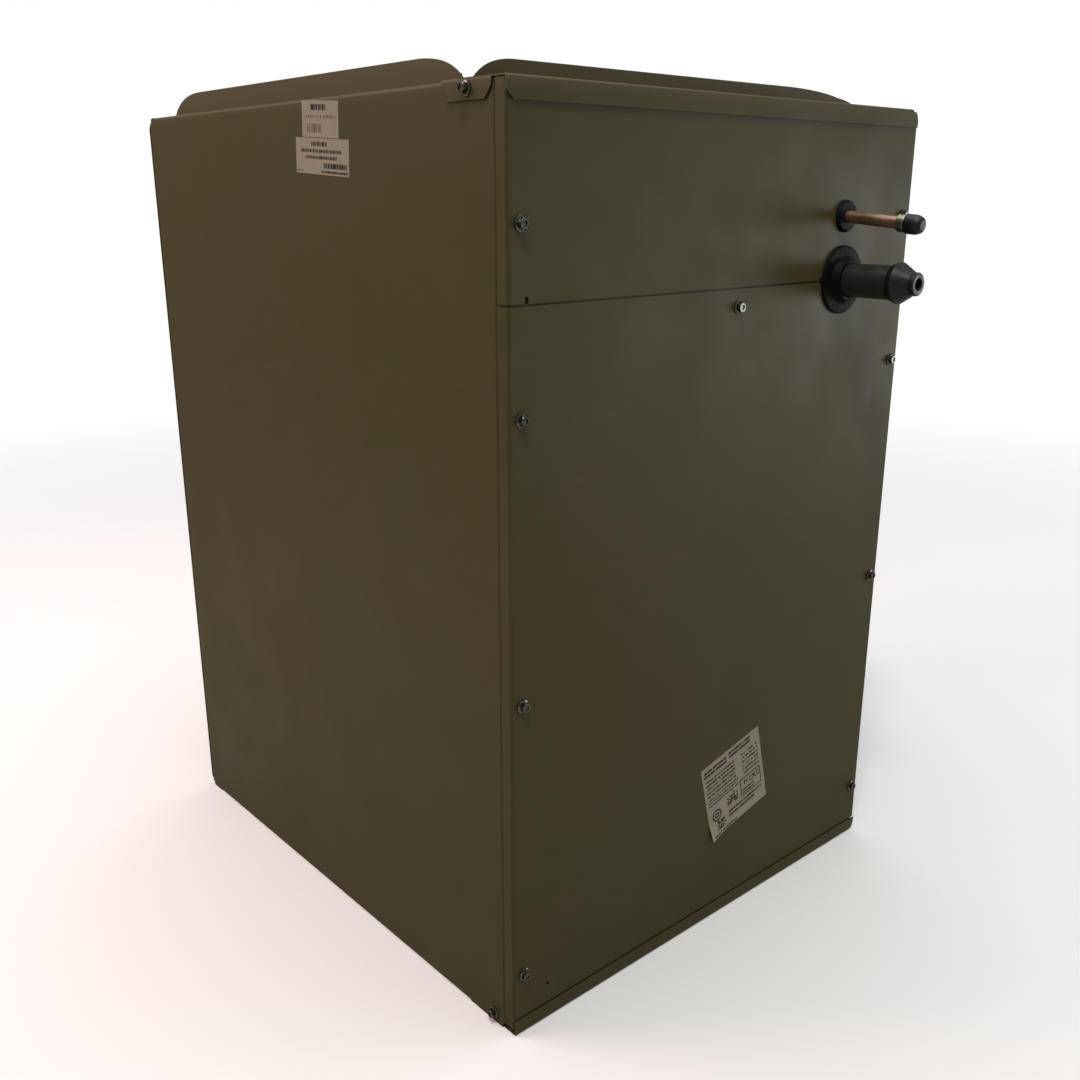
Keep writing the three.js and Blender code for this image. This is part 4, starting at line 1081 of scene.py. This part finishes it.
# The faces inside the front panels' nicks get the dark painted-shadow material.
show_two("upper_front_panel", upper_front_panel(), PAINT, EDGE_SHADOW, is_nick)
show_two("lower_access_panel", lower_access_panel(), PAINT, EDGE_SHADOW, is_nick)

# ---- Insulation ------------------------------------------------------------

def board(node, facing, holes=()):
    """A glass-wool board that fills its CAD box, with foil on the side that faces the air."""
    low, high = extent(node)
    made = box((low.x, high.x), (low.y, high.y), (low.z, high.z))
    if holes:
        made = cut(made, *holes)
    show_two(node, soften(made, 1.2), WOOL, FOIL, lambda face: face.normal.dot(Vector(facing)) > 0.5)


board("left_liner", (1, 0, 0))
board("right_liner", (-1, 0, 0), [bar("x", drain, DRAIN_BOSS + 2, (200, 230), 48) for drain in DRAINS])
board("back_liner", (0, -1, 0))
board(
    "upper_front_liner",
    (0, 1, 0),
    [bar("y", SUCTION_SPOT, 22, (0, 20), 48), bar("y", LIQUID_SPOT, 12, (0, 20), 48)],
)
board("access_panel_liner", (0, 1, 0), [bar("y", SUCTION_SPOT, 30, (0, 20), 48)])

# ---- Labels ----------------------------------------------------------------

LABEL_THICK, LABEL_STEPS = 0.12, 24
CURL_REACH = 0.35


def label_sheet(across, up, lift):
    """A thin sheet, built row by row; its lower left corner may have come unstuck by lift."""
    shares = [i / LABEL_STEPS for i in range(LABEL_STEPS + 1)]
    points, places = [], []
    for v in shares:
        for u, ahead in [(u, 0) for u in shares] + [(u, LABEL_THICK) for u in reversed(shares)]:
            curl = lift * max(0.0, 1 - (u + v) / CURL_REACH) ** 2
            points.append(((u - 0.5) * across, -ahead - curl, (v - 0.5) * up))
            places.append((u, v))
    made = ringed(points, 2 * len(shares))
    uv = made.data.uv_layers.new(name="print")
    for loop in made.data.loops:
        uv.data[loop.index].uv = places[loop.vertex_index]
    return made


def label(node, size, turn, face, print_marks, lift=0.0):
    centre = middle(node)
    stand = Matrix.Rotation(-math.radians(turn), 4, "Y")
    if face == "left":
        stand = Matrix.Rotation(-math.pi / 2, 4, "Z") @ stand
        seat = Vector((-HALF_WIDTH - LABEL_THICK / 2, centre.y, centre.z))
    else:
        seat = Vector((centre.x, -LABEL_THICK / 2, centre.z))
    made = moved(label_sheet(*size, lift), Matrix.Translation(seat) @ stand)
    show(node, made, label_paper(f"{node}_stock", print_marks), sharp=60)


label("rating_label", (76, 76), 14, "front", rating_print, 3.0)
label("stock_label", (50, 25), -3.6, "left", stock_print)
label("notice_label", (73, 25), -3.6, "left", notice_print)

# ---- Drain pan and its rails -----------------------------------------------

for side_name, side_sign in SIDES:
    corner = [(INNER_MID, 13), (INNER_MID, 30 - SHEET_MID), (38, 30 - SHEET_MID)]
    rail = prism("xz", folded_sheet(on_side(side_sign, corner)), (18, CASE_DEPTH - 18))
    show(f"{side_name}_pan_rail", rail, GALVANISED)


def drain_pan():
    outer = box((-PAN_HALF, PAN_HALF), (PAN_FRONT, PAN_BACK), (PAN_BOTTOM, PAN_TOP))
    wall = PAN_WALL
    inner = box(
        (-PAN_HALF + wall, PAN_HALF - wall),
        (PAN_FRONT + wall, PAN_BACK - wall),
        (PAN_BOTTOM + wall, PAN_TOP + 1),
    )
    air = PAN_HALF - wall - PAN_TROUGH
    front, back = PAN_FRONT + PAN_TROUGH, PAN_BACK - PAN_TROUGH
    curb = box((-air - wall, air + wall), (front, back), (PAN_BOTTOM, PAN_RIM))
    opening = box((-air, air), (front + wall, back - wall), (PAN_BOTTOM - 1, PAN_TOP + 1))
    pan = join(cut(outer, inner), curb)
    pan = soften(cut(pan, opening), 0.9)
    for drain in DRAINS:
        pan = join(pan, bar("x", drain, DRAIN_BOSS, (PAN_HALF - 1, HALF_WIDTH + 0.5), 48))
    return cut(pan, *[bar("x", drain, DRAIN_BORE, (PAN_HALF - 10, HALF_WIDTH + 2), 48) for drain in DRAINS])


show("drain_pan", drain_pan(), PLASTIC)


def drain_plug(drain):
    outlet = HALF_WIDTH + 0.8
    head_end = extent("primary_drain_plug")[1].x
    shank = bar("x", drain, DRAIN_BORE - 0.75, (outlet - 13, outlet + 1), 48)
    flange = bar("x", drain, DRAIN_BOSS + 1, (outlet, outlet + 2.2), 48)
    head = bar("x", drain, 9, (outlet + 2, head_end), 4)
    return soften(join(shank, flange, head), 0.4)


for plug_name, plug_drain in zip(("primary", "secondary"), DRAINS):
    show(f"{plug_name}_drain_plug", drain_plug(plug_drain), RUBBER)

# ---- Coil ------------------------------------------------------------------

def slab_matrix(side):
    """From a slab's own frame, X through its thickness and Z up its slope, to the cabinet's."""
    turn = Matrix.Rotation(-side * LEAN, 4, "Y")
    return Matrix.Translation((side * SLAB_FOOT_X, 0, SLAB_FOOT_Z)) @ turn


def pass_place(k, side):
    return side * (PASS_ROW if k % 2 else -PASS_ROW), FIRST_PASS + PASS_STEP * k


FIN_PITCH = 1.8
FIN_THICK = 0.16
FIN_WAVES = 8
FIN_RIPPLE = 0.22


def fin_pack():
    """Thin rippled fins, side by side along the tubes."""
    fins = []
    for n in range(int((SLAB_BACK - SLAB_FRONT) / FIN_PITCH)):
        front = SLAB_FRONT + FIN_PITCH * (n + 0.5) - FIN_THICK / 2
        line = []
        for i in range(FIN_WAVES + 1):
            x = -SLAB_HALF + 2 * SLAB_HALF * i / FIN_WAVES
            line.append((x, front + FIN_RIPPLE * (1 if i % 2 else -1)))
        back = [(x, y + FIN_THICK) for x, y in reversed(line)]
        fins.append(prism("xy", line + back, (0, SLAB_LENGTH)))
    return merge(fins)


def slot_outline(one, two, radius):
    """A slot with round ends between two centres."""
    way = Vector(two) - Vector(one)
    angle = math.atan2(way.y, way.x) if way.length > 0 else 0.0
    outline = []
    for centre, turn in ((two, angle - math.pi / 2), (one, angle + math.pi / 2)):
        for k in range(CORNER_STEPS + 1):
            a = turn + math.pi * k / CORNER_STEPS
            outline.append((centre[0] + radius * math.cos(a), centre[1] + radius * math.sin(a)))
    return outline


def tube_sheet(side, rear):
    """The end plate of a slab, with a slot for every return bend that comes through it."""
    half = SLAB_HALF + 2
    plate = (SLAB_BACK + 0.3, SLAB_BACK + 1.5) if rear else (SLAB_FRONT - 1.5, SLAB_FRONT - 0.3)
    mid, edge = (plate[0] + plate[1]) / 2, (plate[1] + 10 if rear else plate[0] - 10)
    thick = plate[1] - plate[0]
    flange = half - thick / 2
    line = [(-flange, edge), (-flange, mid), (flange, mid), (flange, edge)]
    sheet = prism("xy", folded_sheet(line, 1.2, thick), (-12, SLAB_LENGTH + 2))
    slots = []
    for k in range(0 if rear else -1, PASSES, 2):
        held = [pass_place(i, side) for i in (k, k + 1) if 0 <= i < PASSES]
        slot = slot_outline(held[0], held[-1], PASS_HOLE)
        slots.append(prism("xz", slot, (plate[0] - 2, plate[1] + 2)))
    return cut(sheet, *slots)


def coil_tubes(side):
    """One tube that runs to and fro through the fins, with a return bend after each pass."""
    passes = [pass_place(k, side) for k in range(PASSES)]
    bend = (Vector(passes[1]) - Vector(passes[0])).length / 2
    far, near = SLAB_BACK + TURN_CLEAR + bend, SLAB_FRONT - TURN_CLEAR - bend
    route = [(passes[0][0], PASS_END, passes[0][1])]
    for k, pair in enumerate(zip(passes, passes[1:])):
        route += [(x, near if k % 2 else far, z) for x, z in pair]
    route.append((passes[-1][0], PASS_END, passes[-1][1]))
    return swept(rounded_route(route, bend, 5), LIQUID_TUBE, 16)


for side_name, side_sign in SIDES:
    lean = slab_matrix(side_sign)
    show(f"{side_name}_fin_pack", moved(fin_pack(), lean), FINS)
    show(f"{side_name}_front_tube_sheet", moved(tube_sheet(side_sign, False), lean), GALVANISED)
    show(f"{side_name}_rear_tube_sheet", moved(tube_sheet(side_sign, True), lean), GALVANISED)
    show(f"{side_name}_coil_tubes", moved(coil_tubes(side_sign), lean), COPPER)


def slab_point(side, across, y, along):
    return slab_matrix(side) @ Vector((across, y, along))


def apex_cap():
    clear = SLAB_HALF + 1.2
    hip, skirt = slab_point(1, clear, 0, SLAB_LENGTH + 2), slab_point(1, clear, 0, SLAB_LENGTH - 22)
    line = [(-skirt.x, skirt.z), (-hip.x, hip.z), (hip.x, hip.z), (skirt.x, skirt.z)]
    return prism("xz", folded_sheet(line), (SLAB_FRONT + 1, SLAB_BACK - 1))


def delta_plate(stations):
    inset = -SLAB_HALF - 4
    foot, head = slab_point(1, inset, 0, 25), slab_point(1, inset, 0, SLAB_LENGTH - 14)
    return prism("xz", [(-foot.x, foot.z), (foot.x, foot.z), (head.x, head.z), (-head.x, head.z)], stations)


DELTA_PLATES = {"front": (70, 71), "rear": (469, 470)}
show("apex_cap", apex_cap(), GALVANISED)
for end_name, plate_span in DELTA_PLATES.items():
    show(f"{end_name}_delta_plate", delta_plate(plate_span), GALVANISED)

# ---- Refrigerant pipes -----------------------------------------------------

def pipe(points, radius, bend, sides=24):
    return swept(rounded_route(points, bend, 10), radius, sides)


def coil_end(side, k):
    x, z = pass_place(k, side)
    return slab_point(side, x, PASS_END - GAP, z)


HEADER_ENDS = (-66, 92)
HEADER_JOINT = 6.2


def suction_header():
    """The pipe that gathers the last pass of both slabs."""
    header = bar("x", (HEADER_Y, SUCTION.z), SUCTION_TUBE, HEADER_ENDS, 40)
    for _, side in SIDES:
        end = coil_end(side, PASSES - 1)
        header = join(header, bar("y", (end.x, end.z), HEADER_JOINT, (HEADER_Y + 4, end.y), 28))
    return soften(header, 1.0, 50)


def suction_line():
    tube_end = SLEEVE_END - 11
    x, z = SUCTION_SPOT
    route = [(HEADER_ENDS[1] + GAP, HEADER_Y, z), (x, HEADER_Y, z), (x, tube_end, z)]
    line = pipe(route, SUCTION_TUBE, 22, 40)
    return cut(line, bar("y", SUCTION_SPOT, SUCTION_TUBE - 1, (tube_end - 2, tube_end + 30), 40))


RISER_X = 166
LIQUID_END, LIQUID_INSIDE = -60, 3.9
FEEDER_TUBE = 3.2
DISTRIBUTOR_BASE, DISTRIBUTOR_TOP = 285, 330


def liquid_line():
    drop = LIQUID.z - (BREAK_Y - LIQUID_END) * math.tan(LIQUID_FALL)
    end = Vector((LIQUID.x, LIQUID_END, drop))
    route = [
        (RISER_X, HEADER_Y, DISTRIBUTOR_TOP + GAP),
        (RISER_X, HEADER_Y, LIQUID.z),
        (LIQUID.x, HEADER_Y, LIQUID.z),
        (LIQUID.x, BREAK_Y, LIQUID.z),
        end,
    ]
    line = pipe(route, LIQUID_TUBE, 12)
    bore = bar("y", (0, 0), LIQUID_INSIDE, (-20, 20), 24)
    return cut(line, moved(bore, Matrix.Translation(end) @ Matrix.Rotation(LIQUID_FALL, 4, "X")))


def distributor():
    profile = [(0, 0), (8.4, 0), (9, 0.6), (12.6, 3.6), (13, 4.4), (13, 11.6), (12.4, 12.4)]
    profile += [(8, 20), (8, 23), (10.6, 23), (11, 23.4), (11, 39.6), (10.6, 40)]
    profile += [(7.5, 42), (7.5, 44.7), (7.2, 45), (0, 45)]
    foot = Matrix.Translation((RISER_X, HEADER_Y, DISTRIBUTOR_BASE))
    return moved(turned(profile, 48), foot @ UPRIGHT)


def feeder_tube(side):
    """The thin tube from the distributor to the first pass of one slab."""
    end = coil_end(side, 0)
    start_x = RISER_X + side * 5
    lead = [(start_x, HEADER_Y, 110)] if side > 0 else [(start_x, HEADER_Y, 190), (end.x, HEADER_Y, 130)]
    route = [(start_x, HEADER_Y, DISTRIBUTOR_BASE - GAP), *lead, (end.x, HEADER_Y, end.z), tuple(end)]
    return pipe(route, FEEDER_TUBE, 8, 16)


show("suction_header", suction_header(), COPPER)
show("suction_line", suction_line(), COPPER)
show("liquid_line", liquid_line(), COPPER)
show("distributor", distributor(), BRASS, sharp=35)
for side_name, side_sign in SIDES:
    show(f"{side_name}_feeder_tube", feeder_tube(side_sign), COPPER)

# ---- Pipe stub fittings ----------------------------------------------------

SLEEVE_BORE = SUCTION_TUBE + 0.35
GROMMET_BORE = SLEEVE + 0.35
LIQUID_BORE = LIQUID_TUBE + 0.5


def filleted(profile, radius):
    """A turning profile that closes on itself, with its corners rounded."""
    points = [Vector(p) for p in profile]
    out = []
    for before, corner, after in zip(points[-1:] + points[:-1], points, points[1:] + points[:1]):
        reach = min(radius, (corner - before).length / 2.2, (after - corner).length / 2.2)
        start, end = (corner + (near - corner).normalized() * reach for near in (before, after))
        out += quadratic(start, corner, end, 4)
    return [tuple(p) for p in out] + [tuple(out[0])]


def on_suction(node, profile, material):
    made = moved(turned(profile, 72), Matrix.Translation((SUCTION.x, 0, SUCTION.z)))
    show(node, made, material, sharp=50)


def on_liquid(node, profile, material, tilted):
    place = Matrix.Translation((LIQUID.x, BREAK_Y if tilted else 0, LIQUID.z))
    turn = Matrix.Rotation(LIQUID_FALL, 4, "X") if tilted else Matrix.Identity(4)
    show(node, moved(turned(profile, 48), place @ turn), material, sharp=50)


grommet = [(GROMMET_BORE, -3), (19, -3), (19, GAP), (27, GAP), (27, 1.8), (26, 2.6), (18.5, 3.4), (16, 9.5)]
grommet += [(GROMMET_BORE, 9.5)]
on_suction("suction_grommet", filleted(grommet, 0.7), RUBBER)
reach = -SLEEVE_END
sleeve = [(SLEEVE_BORE, -8), (SLEEVE, -8), (SLEEVE, reach), (SLEEVE_BORE, reach)]
on_suction("suction_sleeve", filleted(sleeve, 0.5), PLASTIC)
foot, tip = reach + GAP, -STUB_END
plug = [(0, tip - 7.5), (4.6, tip - 7.5), (4.6, tip - 0.4), (5, tip), (8, tip), (8.7, tip - 0.4)]
plug += [(9, tip - 1.2), (9, tip - 4), (9.2, tip - 4.7), (9.8, tip - 5.4), (15.5, foot + 7.2)]
plug += [(16, foot + 6.5), (16.1, foot + 5.6), (15.6, foot + 4.2), (14.6, foot + 2.4), (14, foot + 0.8)]
plug += [(13.9, foot), (SLEEVE_BORE, foot), (SLEEVE_BORE, foot + 11.6), (0, foot + 11.6)]
on_suction("suction_plug", plug, VINYL)
small = [(LIQUID_BORE, -3), (8.2, -3), (8.2, GAP), (12.5, GAP), (12.5, 1.6), (11.2, 3.7)]
small += [(LIQUID_BORE, 3.7)]
on_liquid("liquid_grommet", filleted(small, 0.5), RUBBER, False)
collar = [(LIQUID_BORE, 49.4), (6.8, 49.4), (6.8, 56), (LIQUID_BORE, 56)]
on_liquid("liquid_collar", filleted(collar, 0.6), BRASS, True)
cap = [(0, 69.9), (3.6, 69.8), (4.6, 69.5), (5.4, 69), (6.2, 68), (6.9, 66.4), (7.4, 64.4), (7.5, 62)]
cap += [(7.5, 58.4), (7.4, 57), (7.1, 56.3), (LIQUID_BORE, 56.3), (LIQUID_BORE, 62), (0, 62)]
on_liquid("liquid_cap", cap, VINYL, True)

# ---- Screws ----------------------------------------------------------------

HEAD_HALF, WASHER, WASHER_THICK, HEAD_TALL, SHANK, SHANK_LONG = 3.8, 5, 1.2, 3, 2.1, 12.4
THREAD_PITCH, THREAD_DEEP = 1.4, 0.45


def screw_mesh():
    """A hex washer-head screw, seated at its own origin, with its head along +Z and its thread below."""
    top = WASHER_THICK + HEAD_TALL
    brim = WASHER_THICK + 0.1
    washer = [(0, 0), (WASHER, 0), (WASHER, 0.6), (WASHER - 0.5, 1.0), (HEAD_HALF - 0.2, brim), (0, brim)]
    flange = moved(turned(washer, 36), UPRIGHT)
    head = prism("xy", circle(HEAD_HALF, 6), (0.6, top))
    corner = HEAD_HALF + 0.2
    bell = [(0, 0), (corner, 0), (corner, top - 0.9), (HEAD_HALF - 0.55, top), (0, top)]
    dome = moved(turned(bell, 36), UPRIGHT)
    hollow = bar("z", (0, 0), 2.0, (top - 0.7, top + 1), 24)
    head = cut(boolean(head, dome, "INTERSECT"), hollow)
    head = join(flange, head)
    sides, steps = 18, 60
    route = [(Vector((0, 0, 0.2 - (SHANK_LONG + 0.2) * i / steps)), i / steps) for i in range(steps + 1)]
    points = []
    for at, share in route:
        taper = min(1.0, (1 - share) / 0.14 + 0.25)
        for k in range(sides):
            wave = (at.z / THREAD_PITCH - k / sides) % 1
            ridge = THREAD_DEEP * max(0.0, 1 - abs(wave - 0.5) / 0.28)
            radius = (SHANK - THREAD_DEEP + ridge) * taper
            a = 2 * math.pi * k / sides
            points.append((radius * math.cos(a), radius * math.sin(a), at.z))
    whole = join(head, ringed(points, sides))
    mesh = whole.data
    bpy.data.objects.remove(whole)
    return mesh


SCREW = screw_mesh()
OUTWARD = {"front": (0, -1, 0), "back": (0, 1, 0), "left": (-1, 0, 0), "right": (1, 0, 0)}


def screw(node, face, place, spin):
    outward = Vector(OUTWARD[face])
    turn = outward.to_track_quat("Z", "Y").to_matrix().to_4x4()
    seat = Matrix.Translation(Vector(place) + outward * GAP)
    made = moved(placed("work", SCREW.copy()), seat @ turn @ Matrix.Rotation(spin, 4, "Z"))
    show(node, made, ZINC, sharp=28)


screw("access_screw_centre", "front", (0, 0, CENTRE_SCREW_Z), 0.4)
for side_name, side_sign in SIDES:
    edge = across_at(side_sign, EDGE_SCREW)
    for turn_step, (level, height) in enumerate(ACCESS_SCREWS.items()):
        screw(f"access_screw_{side_name}_{level}", "front", (edge, 0, height), 0.7 * turn_step + side_sign)
    screw(f"upper_panel_screw_{side_name}", "front", (edge, 0, UPPER_SCREW_Z), 0.3 * side_sign)
    screw(f"top_rail_screw_{side_name}", side_name, (side_sign * (HALF_WIDTH + SKIN), *TOP_EAR_SCREW), 0.9)
    screw(f"base_rail_screw_{side_name}", side_name, (side_sign * HALF_WIDTH, *BASE_EAR_SCREW), 0.2)
    for level, height in BACK_SCREWS.items():
        place = (across_at(side_sign, BACK_SCREW_U), CASE_DEPTH, height)
        screw(f"back_screw_{side_name}_{level}", "back", place, 0.5 * side_sign)
